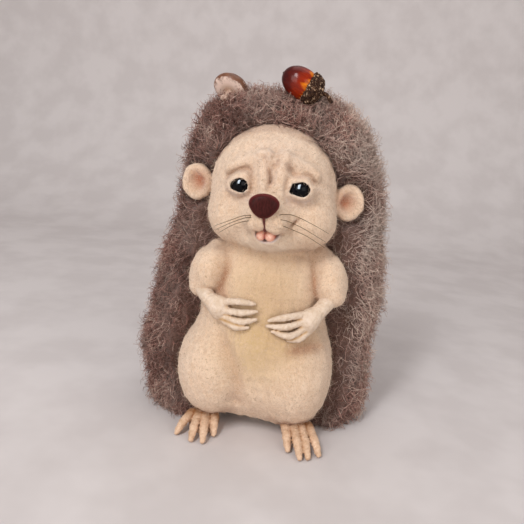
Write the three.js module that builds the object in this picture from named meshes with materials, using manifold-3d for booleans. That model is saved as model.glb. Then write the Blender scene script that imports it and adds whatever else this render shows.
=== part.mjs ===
// A needle-felted hedgehog doll that sits upright on its two clay feet and its woolly rump.
// It has a cream felt head and body, a thick coat of combed brown wool over the crown, back and flanks,
// clay hands folded on the belly, glass eyes, a clay nose, and an acorn and a mushroom in its hair.
//
// Millimetres, +Z up. The doll faces -Y, so its own left is +X. The origin is on the floor, under the
// middle of the bounding box. Soft forms are signed distance fields (negative inside), which surfaceNet()
// meshes; the rest are lathed pieces, balls and bent tubes. Neighbours are trimmed to leave a thin gap.

import * as THREE from "three";
import { mergeVertices } from "three/addons/utils/BufferGeometryUtils.js";
import Module from "manifold-3d";

const wasm = await Module();
wasm.setup();

// ---------------------------------------------------------------- driving dimensions
const GAP = 0.35; // clearance between neighbouring pieces
const COAT_GAP = 2; // clearance between the coat's lining and the felt body
const LOOSE_GAP = 0.6; // clearance between the coat and the limbs and ears that it touches
const HEAD = { x: 1, y: -10, z: 147, halfWidth: 37.5, halfDepth: 36, halfHeight: 36.5 };
const EYE = { spread: 16, y: -41.5, z: 149, radius: 5.6 };
const NOSE = { x: -1, y: -57.5, z: 141.5, halfWidth: 7.8, halfHeight: 6.3, depth: 5 };
const EAR = { x: 45, y: -10, halfWidth: 9.2, halfHeight: 10.6, depth: 4, splay: 0.2 };
const EAR_HEIGHT = { left: 140.8, right: 145.4 };
const CHEST = { y: -12, z: 88, halfWidth: 39, halfDepth: 32, halfHeight: 31 };
const BELLY = { y: -10, z: 57, halfWidth: 39.5, halfDepth: 39, halfHeight: 38 };
const HIPS = { y: -8, z: 33, halfWidth: 38, halfDepth: 38, halfHeight: 27.5 };
const THIGHS = {
  left: { x: 24.2, y: -23, z: 37.5, halfWidth: 21.2, halfDepth: 28.5, halfHeight: 30 },
  right: { x: -25, y: -23, z: 38, halfWidth: 22.5, halfDepth: 28.5, halfHeight: 30.5 },
};
const COAT = { y: 8, halfWidth: 81.5, halfDepth: 52, widest: 55, top: 206.5, below: 75, sway: 4.2 };
// How far each flank's wool swells out of the plain egg, from the floor up, at every step of height.
const FLANK_SWELL = {
  step: 12,
  left: [2, 0, -2, -5.5, -5.8, -6.8, -4, -2.8, -3.6, -5, -5, -3.4, -2.4, -1.1, -0.6, 1, 1],
  right: [-1.5, -4.5, -4.5, 0, -1, -3, -4.5, -4.2, -3.5, -5, -7.3, -6, -4.6, -1.5, -0.5, 1.5, 3.5],
};
const COAT_CUT = { level: 161, flank: 41 }; // where thin cuts part the coat into crown, flanks and back
const FLOOR_DEPTH = 40; // how far the trimming block reaches below the floor

// mesh grid of each kind of piece
const GRID = {
  head: { cell: 6.9, behind: -15, backCell: 16 },
  nose: { cell: 3.1 },
  trunk: { cell: 11.6, behind: -27, backCell: 18 },
  thigh: { cell: 9.6, behind: -26, backCell: 16 },
  coat: { cell: 13.2 },
};

const COLOURS = {
  felt: { color: 0xdcbc98, roughness: 0.95, metalness: 0 },
  wool: { color: 0x6e564c, roughness: 1, metalness: 0 },
  clay: { color: 0xd9b08a, roughness: 0.6, metalness: 0 },
  glass: { color: 0x0a0c10, roughness: 0.08, metalness: 0 },
  nose: { color: 0x44201f, roughness: 0.45, metalness: 0 },
  tongue: { color: 0xd98c72, roughness: 0.35, metalness: 0 },
  nut: { color: 0x8a2f14, roughness: 0.15, metalness: 0 },
  cup: { color: 0x3a2c22, roughness: 0.85, metalness: 0 },
  cap: { color: 0x6f4630, roughness: 0.5, metalness: 0 },
  stem: { color: 0xd3bda6, roughness: 0.8, metalness: 0 },
};

// ---------------------------------------------------------------- signed distance fields
// A field is { at(p) -> distance, box }, with the box holding its whole surface.
const V = (x, y, z) => new THREE.Vector3(x, y, z);

function ellipsoid(centre, radii) {
  const unit = new THREE.Vector3();
  const slope = new THREE.Vector3();
  const at = (p) => {
    unit.subVectors(p, centre).divide(radii);
    slope.copy(unit).divide(radii);
    const near = unit.length();
    return (near * (near - 1)) / Math.max(slope.length(), 1e-9);
  };
  const box = new THREE.Box3(centre.clone().sub(radii), centre.clone().add(radii));
  return { at, box };
}

function limb(start, end, startRadius, endRadius) {
  const axis = end.clone().sub(start);
  const away = new THREE.Vector3();
  const at = (p) => {
    away.subVectors(p, start);
    const share = THREE.MathUtils.clamp(away.dot(axis) / axis.lengthSq(), 0, 1);
    return away.addScaledVector(axis, -share).length() - THREE.MathUtils.lerp(startRadius, endRadius, share);
  };
  const box = new THREE.Box3()
    .expandByPoint(start)
    .expandByPoint(end)
    .expandByScalar(Math.max(startRadius, endRadius));
  return { at, box };
}

const smoothMin = (a, b, soft) => {
  const near = Math.max(soft - Math.abs(a - b), 0) / soft;
  return Math.min(a, b) - (near * near * soft) / 4;
};

function blend(soft, ...fields) {
  const box = new THREE.Box3();
  fields.forEach((field) => box.union(field.box));
  return { at: (p) => fields.map((field) => field.at(p)).reduce((a, b) => smoothMin(a, b, soft)), box };
}

function hollow(soft, field, ...cutters) {
  const at = (p) => cutters.reduce((d, cutter) => -smoothMin(-d, cutter.at(p), soft), field.at(p));
  return { at, box: field.box };
}

// A field from any function that is negative inside: its value over its slope is close to a distance.
function implicit(value, box) {
  const step = 0.05;
  const beside = new THREE.Vector3();
  const at = (p) => {
    const here = value(p);
    const moved = (axis) => beside.copy(p).setComponent(axis, p.getComponent(axis) + step);
    const slope = [0, 1, 2].map((axis) => value(moved(axis)) - here);
    return (here * step) / Math.max(Math.hypot(...slope), 1e-4);
  };
  return { at, box };
}

const grown = (field, by) => ({ at: (p) => field.at(p) - by, box: field.box.clone().expandByScalar(by) });

// ---------------------------------------------------------------- meshing
// Grid lines along one axis, each a whole number of cells from start, so that a form and its grown room
// share their facets.
function gridLines(low, high, cell, start) {
  const first = Math.floor((low - start) / cell) - 1;
  const last = Math.ceil((high - start) / cell) + 1;
  return Array.from({ length: last - first + 1 }, (_, n) => start + (first + n) * cell);
}

// Lines from front to back, which are wider apart behind the plane y = behind, where the coat hides the form.
function depthLines(low, high, { cell, behind, backCell }) {
  if (behind === undefined) return gridLines(low, high, cell, 0);
  const front = gridLines(low, Math.min(high, behind), cell, behind).filter((y) => y <= behind);
  const back = gridLines(behind, Math.max(high, behind), backCell, behind).filter((y) => y > behind);
  return [...front, ...back];
}

// A closed mesh of a field: one vertex in each grid cell that the surface crosses, pulled onto the surface.
function surfaceNet(field, grid) {
  const { min, max } = field.box;
  const xs = gridLines(min.x, max.x, grid.cell, 0);
  const ys = depthLines(min.y, max.y, grid);
  const zs = gridLines(min.z, max.z, grid.cell, 0);
  const [nx, ny, nz] = [xs.length, ys.length, zs.length];
  const stride = [1, nx, nx * ny];
  const values = new Float32Array(nx * ny * nz);
  const p = new THREE.Vector3();
  for (let k = 0, n = 0; k < nz; k++)
    for (let j = 0; j < ny; j++)
      for (let i = 0; i < nx; i++, n++) values[n] = field.at(p.set(xs[i], ys[j], zs[k]));

  const positions = [];
  const vertexOf = new Int32Array(values.length).fill(-1);
  for (let k = 0; k < nz - 1; k++)
    for (let j = 0; j < ny - 1; j++)
      for (let i = 0; i < nx - 1; i++) {
        const n = i + j * stride[1] + k * stride[2];
        const share = meanCrossing(values, stride, n);
        if (!share) continue;
        vertexOf[n] = positions.length / 3;
        const corner = V(xs[i], ys[j], zs[k]);
        const extent = V(xs[i + 1], ys[j + 1], zs[k + 1]).sub(corner);
        const crossing = extent.multiply(share).add(corner);
        positions.push(...pulledOnto(field, crossing, 0.45 * grid.cell).toArray());
      }

  const faces = [];
  for (let k = 1; k < nz - 1; k++)
    for (let j = 1; j < ny - 1; j++)
      for (let i = 1; i < nx - 1; i++) {
        const n = i + j * stride[1] + k * stride[2];
        for (let axis = 0; axis < 3; axis++) {
          const inside = values[n] < 0;
          if (inside === values[n + stride[axis]] < 0) continue;
          const [u, v] = [stride[(axis + 1) % 3], stride[(axis + 2) % 3]];
          const quad = [vertexOf[n], vertexOf[n - u], vertexOf[n - u - v], vertexOf[n - v]];
          faces.push(...splitQuad(inside ? quad : quad.reverse(), positions));
        }
      }
  const geometry = new THREE.BufferGeometry();
  geometry.setAttribute("position", new THREE.Float32BufferAttribute(positions, 3));
  geometry.setIndex(faces);
  return geometry;
}

// The mean of the points where a cell's twelve edges cross zero, in cell units, or null if none does.
function meanCrossing(values, stride, n) {
  const sum = new THREE.Vector3();
  let count = 0;
  for (let axis = 0; axis < 3; axis++)
    for (let side = 0; side < 4; side++) {
      const [u, v] = [side & 1, side >> 1];
      const from = n + u * stride[(axis + 1) % 3] + v * stride[(axis + 2) % 3];
      const [a, b] = [values[from], values[from + stride[axis]]];
      if (a < 0 === b < 0) continue;
      const at = [0, 0, 0];
      at[axis] = a / (a - b);
      at[(axis + 1) % 3] = u;
      at[(axis + 2) % 3] = v;
      sum.add(V(...at));
      count++;
    }
  return count ? sum.divideScalar(count) : null;
}

function pulledOnto(field, point, limit) {
  const start = point.clone();
  const probe = new THREE.Vector3();
  const step = 0.02;
  for (let round = 0; round < 4; round++) {
    const distance = field.at(point);
    const slope = V(
      field.at(probe.copy(point).setX(point.x + step)) - distance,
      field.at(probe.copy(point).setY(point.y + step)) - distance,
      field.at(probe.copy(point).setZ(point.z + step)) - distance,
    ).divideScalar(step);
    point.addScaledVector(slope, -distance / Math.max(slope.lengthSq(), 0.2));
  }
  return point.sub(start).clampLength(0, limit).add(start);
}

function splitQuad([a, b, c, d], positions) {
  const at = (n) => new THREE.Vector3().fromArray(positions, 3 * n);
  const shorter = at(a).distanceTo(at(c)) <= at(b).distanceTo(at(d));
  return shorter ? [a, b, c, a, c, d] : [b, c, d, b, d, a];
}

// ---------------------------------------------------------------- solids
function solidOf(geometry) {
  const bare = new THREE.BufferGeometry();
  bare.setAttribute("position", geometry.getAttribute("position"));
  bare.setIndex(geometry.getIndex());
  const merged = mergeVertices(bare, 1e-3);
  const vertProperties = new Float32Array(merged.getAttribute("position").array);
  const triVerts = new Uint32Array(merged.getIndex().array);
  return new wasm.Manifold(new wasm.Mesh({ numProp: 3, vertProperties, triVerts }));
}

const felt = (field, grid) => solidOf(surfaceNet(field, grid));
const joined = (...solids) => solids.reduce((a, b) => a.add(b));

// The room that a piece takes up: the same facets, moved outwards by the clearance.
function roomOf(solid, by = GAP) {
  const geometry = geometryOf(solid);
  const position = geometry.getAttribute("position");
  const normal = geometry.getAttribute("normal");
  for (let n = 0; n < position.count; n++) {
    const point = new THREE.Vector3().fromBufferAttribute(position, n);
    point.addScaledVector(new THREE.Vector3().fromBufferAttribute(normal, n), by);
    position.setXYZ(n, ...point.toArray());
  }
  return solidOf(geometry);
}

function geometryOf(solid) {
  const { vertProperties, triVerts } = solid.getMesh();
  const geometry = new THREE.BufferGeometry();
  geometry.setAttribute("position", new THREE.BufferAttribute(vertProperties, 3));
  geometry.setIndex(new THREE.BufferAttribute(triVerts, 1));
  geometry.computeVertexNormals();
  return geometry;
}

// The largest body that is left of a solid when the cutters are taken away.
function trimmed(solid, ...cutters) {
  const left = cutters.reduce((a, b) => a.subtract(b), solid).decompose();
  return left.reduce((a, b) => (a.volume() >= b.volume() ? a : b));
}

function block(low, high) {
  const size = high.clone().sub(low);
  const centre = low.clone().add(high).divideScalar(2);
  const geometry = new THREE.BoxGeometry(...size.toArray());
  geometry.translate(...centre.toArray());
  return solidOf(geometry);
}

function ball(centre, radii, around, down) {
  const geometry = new THREE.SphereGeometry(1, around, down);
  geometry.scale(...radii.toArray());
  geometry.translate(...centre.toArray());
  return solidOf(geometry);
}

// A closed tube with round ends that follows a curve; radiusAt(share) is its radius along the way.
function bentTube(curve, radiusAt, sides, steps) {
  const profile = [new THREE.Vector2(0, 0)];
  for (let n = 0; n <= steps; n++) profile.push(new THREE.Vector2(1, n / steps));
  profile.push(new THREE.Vector2(0, 1));
  const geometry = new THREE.LatheGeometry(profile, sides);
  const position = geometry.getAttribute("position");
  const side = new THREE.Vector3();
  const up = new THREE.Vector3();
  for (let n = 0; n < position.count; n++) {
    const share = position.getY(n);
    const along = curve.getTangent(share);
    side.set(0, 0, 1).cross(along).normalize();
    up.crossVectors(along, side);
    const onAxis = Math.hypot(position.getX(n), position.getZ(n)) < 0.5;
    const cap = onAxis ? radiusAt(share) * (share < 0.5 ? -0.55 : 0.55) : 0;
    const radius = radiusAt(share);
    const point = curve
      .getPoint(share)
      .addScaledVector(side, -position.getX(n) * radius)
      .addScaledVector(up, position.getZ(n) * radius)
      .addScaledVector(along, cap);
    position.setXYZ(n, point.x, point.y, point.z);
  }
  return geometry;
}

function digit(points, rootRadius, tipRadius) {
  const curve = new THREE.CatmullRomCurve3(points);
  const radiusAt = (share) => THREE.MathUtils.lerp(rootRadius, tipRadius, share ** 1.5);
  return solidOf(bentTube(curve, radiusAt, 6, 4));
}

// A lathed piece whose axis points along direction, from a profile of [radius, height] pairs.
function turned(profile, sides, centre, direction) {
  const points = profile.map(([radius, height]) => new THREE.Vector2(radius, height));
  const geometry = new THREE.LatheGeometry(points, sides);
  const turn = new THREE.Quaternion().setFromUnitVectors(V(0, 1, 0), direction.clone().normalize());
  geometry.applyQuaternion(turn);
  geometry.translate(...centre.toArray());
  return solidOf(geometry);
}

// Points [radius, height] along part of an ellipse, from one angle above its middle to another.
function arc(radius, height, from, to, steps) {
  return Array.from({ length: steps + 1 }, (_, n) => {
    const angle = THREE.MathUtils.lerp(from, to, n / steps);
    return [Math.max(radius * Math.cos(angle), 0), height * Math.sin(angle)];
  });
}

// ---------------------------------------------------------------- the felt body
function headField() {
  const skull = ellipsoid(V(HEAD.x, HEAD.y, HEAD.z), V(HEAD.halfWidth, HEAD.halfDepth, HEAD.halfHeight));
  const cheeks = [V(19.5, -21, 130), V(-16, -21, 130)].map((place) => ellipsoid(place, V(19, 24, 17)));
  const muzzle = ellipsoid(V(0, -44, 134), V(13, 14, 11));
  const chin = ellipsoid(V(1, -36, 120), V(15, 12, 7));
  const bridge = [-1, 1].map((side) => (
    limb(V(1.5 + 4.5 * side, -47, 147), V(2 + 5 * side, -42.5, 165), 3.4, 3)));
  const brows = [-1, 1].map((side) => (
    limb(V(1.5 + 6 * side, -41.5, 165), V(1 + 23 * side, -35.5, 157), 3.2, 2.6)));
  const face = blend(7, skull, ...cheeks, muzzle, chin);
  const sockets = [-1, 1].map((side) => ellipsoid(V(EYE.spread * side, -50, EYE.z), V(8, 6, 6)));
  return hollow(5, blend(4, face, ...bridge, ...brows), ...sockets);
}

function trunkField() {
  const chest = ellipsoid(V(0, CHEST.y, CHEST.z), V(CHEST.halfWidth, CHEST.halfDepth, CHEST.halfHeight));
  const belly = ellipsoid(V(0, BELLY.y, BELLY.z), V(BELLY.halfWidth, BELLY.halfDepth, BELLY.halfHeight));
  const hips = ellipsoid(V(0, HIPS.y, HIPS.z), V(HIPS.halfWidth, HIPS.halfDepth, HIPS.halfHeight));
  return blend(10, chest, belly, hips);
}

function thighField(name) {
  const { x, y, z, halfWidth, halfDepth, halfHeight } = THIGHS[name];
  return ellipsoid(V(x, y, z), V(halfWidth, halfDepth, halfHeight));
}

// The forearms come round the flanks, and the hands lie flat on the belly.
const ARMS = {
  left: { shoulder: V(28, -13, 111), elbow: V(41, -30, 89.5), wrist: V(32.5, -38.5, 81), palm: V(27.8, -41, 76.4) },
  right: {
    shoulder: V(-26, -13, 108.5), elbow: V(-36, -29, 88), wrist: V(-29, -40, 83.5), palm: V(-22.5, -43, 79.6),
  },
};

// A plump upper arm, thickest half-way down.
function armSolid({ shoulder, elbow }) {
  const middle = shoulder.clone().lerp(elbow, 0.5).add(V(0, 2, 0));
  const curve = new THREE.CatmullRomCurve3([shoulder, middle, elbow]);
  const radiusAt = (share) => 11 * Math.sin(Math.PI * (0.14 + 0.7 * share)) ** 0.6;
  return solidOf(bentTube(curve, radiusAt, 10, 5));
}

// A shallow felt cup with a rounded rim, which faces forwards and a little outwards.
function earSolid(side, height) {
  const { halfWidth, halfHeight, depth, splay } = EAR;
  const back = arc(1, depth, -Math.PI / 2, 0, 3);
  const rim = [[0.98, 1], [0.85, 1.9]];
  const bowl = [[0.66, 0.9], [0.4, -0.7], [0, -1.2]];
  const profile = [...back, ...rim, ...bowl].map(([radius, y]) => new THREE.Vector2(radius, y));
  const geometry = new THREE.LatheGeometry(profile, 12);
  geometry.rotateX(Math.PI);
  geometry.scale(halfWidth, 1, halfHeight);
  geometry.rotateZ(splay * side);
  geometry.translate(EAR.x * side, EAR.y, height);
  return solidOf(geometry);
}

// ---------------------------------------------------------------- the coat
// How far the wool swells out of the plain egg at a point; it fades away between the flanks.
function flankSwell(p) {
  const swells = p.x > 0 ? FLANK_SWELL.left : FLANK_SWELL.right;
  const level = THREE.MathUtils.clamp(p.z / FLANK_SWELL.step, 0, swells.length - 1.001);
  const below = Math.floor(level);
  const swell = THREE.MathUtils.lerp(swells[below], swells[below + 1], level - below);
  return swell * THREE.MathUtils.smoothstep(Math.abs(p.x), 10, 50);
}

// The wool's outer face: an egg that is widest low down, round on top, and sways a little from side to side.
function coatOutline() {
  const { y, halfWidth, halfDepth, widest, top, below, sway } = COAT;
  const value = (p) => {
    const rise = p.z > widest ? ((p.z - widest) / (top - widest)) ** 1.65 : ((widest - p.z) / below) ** 4;
    const middle = sway * Math.sin((Math.PI * (p.z - 60)) / 170);
    const across = p.x - Math.sign(p.x) * flankSwell(p) - middle;
    return Math.hypot(across / halfWidth, (p.y - y) / halfDepth) ** 3.5 + rise - 1;
  };
  const reach = halfWidth + sway;
  return implicit(value, new THREE.Box3(V(-reach, y - halfDepth, widest - below), V(reach, y + halfDepth, top)));
}

// The wool opens at the front for the face, the ears, the belly and the arms, and wraps the felt body.
function coatField() {
  const faceOpening = ellipsoid(V(HEAD.x, -52, 134), V(82, 46, 50));
  const bodyOpening = ellipsoid(V(10, -54, 56), V(90, 46, 84));
  const earOpenings = [[1, EAR_HEIGHT.left], [-1, EAR_HEIGHT.right]].map(
    ([side, z]) => ellipsoid(V(49 * side, -19, z), V(17, 15, 17)));
  const body = blend(6, headField(), trunkField(), thighField("left"), thighField("right"));
  return hollow(9, coatOutline(), faceOpening, bodyOpening, ...earOpenings, grown(body, COAT_GAP));
}

// The coat's named regions, with a thin gap between them.
function coatPieces() {
  const [far, half] = [200, GAP / 2];
  const { level, flank } = COAT_CUT;
  const below = level - half;
  return {
    coat_crown: block(V(-far, -far, level + half), V(far, far, far + level)),
    coat_left: block(V(flank + half, -far, 0), V(far, far, below)),
    coat_right: block(V(-far, -far, 0), V(-flank - half, far, below)),
    coat_back: block(V(-flank + half, 0, 0), V(flank - half, far, below)),
  };
}

// ---------------------------------------------------------------- the clay hands and feet
// Each finger's root, knuckle and tip, from the top finger down.
const FINGERS = {
  left: [
    [V(24.3, -42.5, 80.3), V(15.2, -47.2, 79.4), V(6, -47.4, 76.7)],
    [V(25.6, -42, 76.6), V(15.7, -47.6, 74), V(5.2, -48.1, 73.7)],
    [V(27, -41.5, 73), V(18.4, -47.4, 68.9), V(8.3, -48.2, 70.8)],
    [V(28.6, -41, 71), V(24.1, -44.6, 67), V(17.5, -46.6, 66)],
  ],
  right: [
    [V(-20.5, -43.8, 83.8), V(-10.9, -47.2, 85.7), V(-2.5, -46.6, 85)],
    [V(-20.8, -44, 79), V(-10.3, -48, 79.6), V(-1, -47, 81)],
    [V(-20.4, -44, 75.5), V(-9.9, -48.2, 74.6), V(-1.2, -47.6, 76.5)],
    [V(-19.6, -44, 73.4), V(-12.5, -47.8, 71.2), V(-5.2, -48, 71.6)],
  ],
};
const FINGER = { rootRadius: 2, tipRadius: 1.3 };
const PALM = { radii: V(5.2, 3.4, 6.8), around: 7, down: 4 };
const FOREARM_RADIUS = 4.4;

function handSolid(name) {
  const { elbow, wrist, palm } = ARMS[name];
  const start = elbow.clone().lerp(wrist, 0.2);
  const curve = new THREE.CatmullRomCurve3([start, wrist, palm]);
  const forearm = solidOf(bentTube(curve, () => FOREARM_RADIUS, 7, 4));
  const fingers = FINGERS[name].map((points) => digit(points, FINGER.rootRadius, FINGER.tipRadius));
  return joined(forearm, ball(palm, PALM.radii, PALM.around, PALM.down), ...fingers);
}

// Each foot's middle, the places across it where its toes start, and where their tips rest on the floor.
const FEET = {
  left: { x: 28, roots: [20.5, 25.5, 30, 34.5], tips: [[23.4, -52], [30.3, -58.7], [35, -57.5], [41, -53.4]] },
  right: {
    x: -29, roots: [-22.5, -27.5, -32, -36], tips: [[-20.7, -44.5], [-25.7, -53], [-32.5, -52.5], [-42, -46.7]],
  },
};
const TOE = { rootHeight: 8, rootRadius: 2.7, tipHeight: 2.2, tipRadius: 1.9 };

function footSolid(name) {
  const { x, roots, tips } = FEET[name];
  const toes = tips.map(([tipX, tipY], n) => {
    const tip = V(tipX, tipY, TOE.tipHeight);
    const root = V(roots[n], -33, TOE.rootHeight);
    const knuckle = root.clone().lerp(tip, 0.55).add(V(0, -0.5, 1.6));
    return digit([root, knuckle, tip], TOE.rootRadius, TOE.tipRadius);
  });
  return joined(ball(V(x, -29, 2.5), V(10.5, 12, 9), 9, 6), ...toes);
}

// ---------------------------------------------------------------- the acorn and the mushroom
const ACORN = {
  centre: V(10.9, -12, 205.2), axis: V(-0.9, 0, 0.436), nut: [8.7, 11.7], cup: [9.4, 7.6], cupBack: 5.9,
  stalk: [V(20.5, -12, 200.4), V(25.8, -12, 199.6), V(28.4, -12, 196.6)], stalkRadii: [1.5, 1.2],
};
const MUSHROOM = { centre: V(-30.3, 4, 199.4), axis: V(0.33, 0.66, 0.67), cap: [11.3, 7.6], stem: [2.6, 12] };

function acornNut() {
  const [radius, half] = ACORN.nut;
  return turned(arc(radius, half, -Math.PI / 2, Math.PI / 2, 6), 10, ACORN.centre, ACORN.axis);
}

function acornCup() {
  const [radius, depth] = ACORN.cup;
  const base = ACORN.centre.clone().addScaledVector(ACORN.axis.clone().normalize(), -ACORN.cupBack);
  const profile = [...arc(radius, depth, -Math.PI / 2, 0.1, 4), [0, 0.8]];
  return joined(turned(profile, 10, base, ACORN.axis), digit(ACORN.stalk, ...ACORN.stalkRadii));
}

function mushroomCap() {
  const [radius, height] = MUSHROOM.cap;
  const under = [[0, -0.6], [radius * 0.55, -1], [radius * 0.88, -1.7]];
  const dome = arc(radius, height, -0.15, Math.PI / 2, 5);
  return turned([...under, ...dome], 12, MUSHROOM.centre, MUSHROOM.axis);
}

function mushroomStem() {
  const [radius, length] = MUSHROOM.stem;
  const foot = [[0, -length], [radius + 1, -length + 1.5], [radius, -length * 0.45]];
  return turned([...foot, [radius, 1.5], [0, 1.5]], 8, MUSHROOM.centre, MUSHROOM.axis);
}

// ---------------------------------------------------------------- putting the doll together
function noseField() {
  const { x, y, z, halfWidth, halfHeight, depth } = NOSE;
  const top = ellipsoid(V(x, y, z + 1.2), V(halfWidth, depth, halfHeight - 1.2));
  const tip = ellipsoid(V(x, y, z - 2), V(halfWidth * 0.55, depth - 0.5, halfHeight - 2));
  return blend(3, top, tip);
}

function eyeSolid(side) {
  const { spread, y, z, radius } = EYE;
  return ball(V(spread * side, y, z), V(radius, radius, radius), 11, 7);
}

const mouthSpace = () => ball(V(1, -50, 124), V(6.5, 8, 4.2), 10, 6);

// Two short lobes side by side in the open mouth.
function tongueSolid() {
  const lobe = (x) => digit([V(x, -39, 123.5), V(x, -44, 123.7), V(x, -48, 123.2)], 2.9, 2.7);
  return joined(lobe(-1.2), lobe(3.2));
}

const materials = Object.fromEntries(
  Object.entries(COLOURS).map(([name, look]) => [name, new THREE.MeshStandardMaterial(look)]));

// Adds a solid to a group as a named mesh whose geometry is measured from the group's own place.
function addPiece(group, name, solid, material) {
  const geometry = geometryOf(solid);
  geometry.translate(-group.position.x, -group.position.y, -group.position.z);
  const mesh = new THREE.Mesh(geometry, materials[material]);
  mesh.name = name;
  group.add(mesh);
}

function groupAt(parent, point) {
  const group = new THREE.Group();
  group.position.copy(point);
  parent.add(group);
  return group;
}

function hedgehog() {
  const doll = new THREE.Group();
  const headGroup = groupAt(doll, V(HEAD.x, HEAD.y, HEAD.z));
  const bodyGroup = groupAt(doll, V(0, BELLY.y, BELLY.z));
  const coatGroup = groupAt(doll, V(0, 0, 0));
  const hairGroup = groupAt(doll, V(0, 0, COAT.top));
  const floor = block(V(-200, -200, -FLOOR_DEPTH), V(200, 200, 0));
  const looseRooms = [];

  const wholeHead = felt(headField(), GRID.head);
  const headRoom = roomOf(wholeHead);
  const nose = felt(noseField(), GRID.nose);
  const tongue = tongueSolid();
  const eyes = { left: eyeSolid(1), right: eyeSolid(-1) };
  const faceRooms = [nose, tongue, eyes.left, eyes.right].map((solid) => roomOf(solid));
  addPiece(headGroup, "head", trimmed(wholeHead, mouthSpace(), ...faceRooms), "felt");
  addPiece(headGroup, "nose", nose, "nose");
  addPiece(headGroup, "tongue", tongue, "tongue");

  const wholeTrunk = felt(trunkField(), GRID.trunk);
  const trunkRoom = roomOf(wholeTrunk);
  addPiece(bodyGroup, "trunk", trimmed(wholeTrunk, headRoom), "felt");

  for (const [name, side] of [["left", 1], ["right", -1]]) {
    const ear = earSolid(side, EAR_HEIGHT[name]);
    addPiece(headGroup, `ear_${name}`, trimmed(ear, headRoom), "felt");
    addPiece(headGroup, `eye_${name}`, eyes[name], "glass");

    const thigh = felt(thighField(name), GRID.thigh);
    addPiece(bodyGroup, `thigh_${name}`, trimmed(thigh, trunkRoom), "felt");
    const foot = trimmed(footSolid(name), trunkRoom, roomOf(thigh), floor);
    addPiece(bodyGroup, `foot_${name}`, foot, "clay");

    const arm = armSolid(ARMS[name]);
    const hand = trimmed(handSolid(name), trunkRoom, roomOf(arm));
    addPiece(bodyGroup, `upper_arm_${name}`, trimmed(arm, trunkRoom, headRoom), "felt");
    addPiece(bodyGroup, `hand_${name}`, hand, "clay");
    looseRooms.push(...[ear, arm, foot].map((solid) => roomOf(solid, LOOSE_GAP)));
  }

  const [nut, cup, cap, stem] = [acornNut(), acornCup(), mushroomCap(), mushroomStem()];
  addPiece(hairGroup, "acorn_nut", trimmed(nut, roomOf(cup)), "nut");
  addPiece(hairGroup, "acorn_cup", cup, "cup");
  addPiece(hairGroup, "mushroom_cap", cap, "cap");
  addPiece(hairGroup, "mushroom_stem", trimmed(stem, roomOf(cap)), "stem");

  const trinketRooms = [nut, cup, cap, stem].map((solid) => roomOf(solid));
  const coat = felt(coatField(), GRID.coat);
  for (const [name, region] of Object.entries(coatPieces()))
    addPiece(coatGroup, name, trimmed(coat.intersect(region), ...looseRooms, ...trinketRooms), "wool");
  return doll;
}

const doll = hedgehog();
doll.updateMatrixWorld(true);
const bounds = new THREE.Box3().setFromObject(doll, true);
doll.position.set(-(bounds.min.x + bounds.max.x) / 2, -(bounds.min.y + bounds.max.y) / 2, -bounds.min.z);

export default doll;
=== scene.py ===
"""A needle-felted hedgehog doll: felt head and body, a coat of frizzy wool, clay hands and feet.

The doll sits upright and looks towards -Y, so its own left is +X. Sizes are in millimetres in the doll's own
frame (x from its middle, y backwards, z up from the floor); a Bench turns them into the frame's metres.
"""

import logging
import math
from collections.abc import Callable, Sequence
from dataclasses import dataclass, field
from enum import Enum

import bpy
import numpy as np
from mathutils import Matrix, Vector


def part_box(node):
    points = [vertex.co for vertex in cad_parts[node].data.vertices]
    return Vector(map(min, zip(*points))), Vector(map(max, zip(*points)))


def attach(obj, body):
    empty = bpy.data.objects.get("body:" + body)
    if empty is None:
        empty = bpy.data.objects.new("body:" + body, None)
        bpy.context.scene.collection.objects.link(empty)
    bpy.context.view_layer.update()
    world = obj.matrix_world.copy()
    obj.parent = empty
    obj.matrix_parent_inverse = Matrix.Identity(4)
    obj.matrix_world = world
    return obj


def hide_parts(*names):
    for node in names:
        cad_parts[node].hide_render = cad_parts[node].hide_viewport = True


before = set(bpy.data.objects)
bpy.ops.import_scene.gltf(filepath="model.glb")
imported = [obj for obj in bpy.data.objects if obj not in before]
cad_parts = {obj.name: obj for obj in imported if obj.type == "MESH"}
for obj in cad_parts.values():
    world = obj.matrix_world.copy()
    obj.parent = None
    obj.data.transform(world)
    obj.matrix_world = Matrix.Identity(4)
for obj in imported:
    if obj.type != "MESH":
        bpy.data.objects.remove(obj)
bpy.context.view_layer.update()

log = logging.getLogger("hedgehog")
MM = 0.001
CAD_EYE_MIDDLE = (16, -41.5, 149)
Vec = tuple[float, float, float]
Colour = tuple[float, float, float]
Points = np.ndarray
Outline = Sequence[tuple[float, float]]
Material = bpy.types.Material
Mesh = bpy.types.Mesh
Node = bpy.types.Node
Object = bpy.types.Object
Socket = bpy.types.NodeSocket


class Side(Enum):
    """The doll's own left and right, with the sign of x on that side."""

    LEFT = 1
    RIGHT = -1

    @property
    def word(self) -> str:
        """The side's name, as the frame's nodes end."""
        return self.name.lower()


class Dye(Enum):
    """The felt's tints, each kept as an attribute of the skin: pastel that the maker worked in, with painted shade
    and painted light among them.
    """

    # Brown pastel, with painted shade in creases, hollows, armpits, valleys and under the thighs and belly.
    WARM = "dye_warm"
    FLUSH = "dye_flush"
    # Grey-violet pastel round the eyes and mouth, with painted shade on the forehead.
    COOL = "dye_cool"
    # Pale lid rims, with painted light on the chin and neck.
    PALE = "dye_pale"
    # Yellowish chest, belly and chin, with painted shade above the left thigh.
    OCHRE = "dye_ochre"


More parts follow.
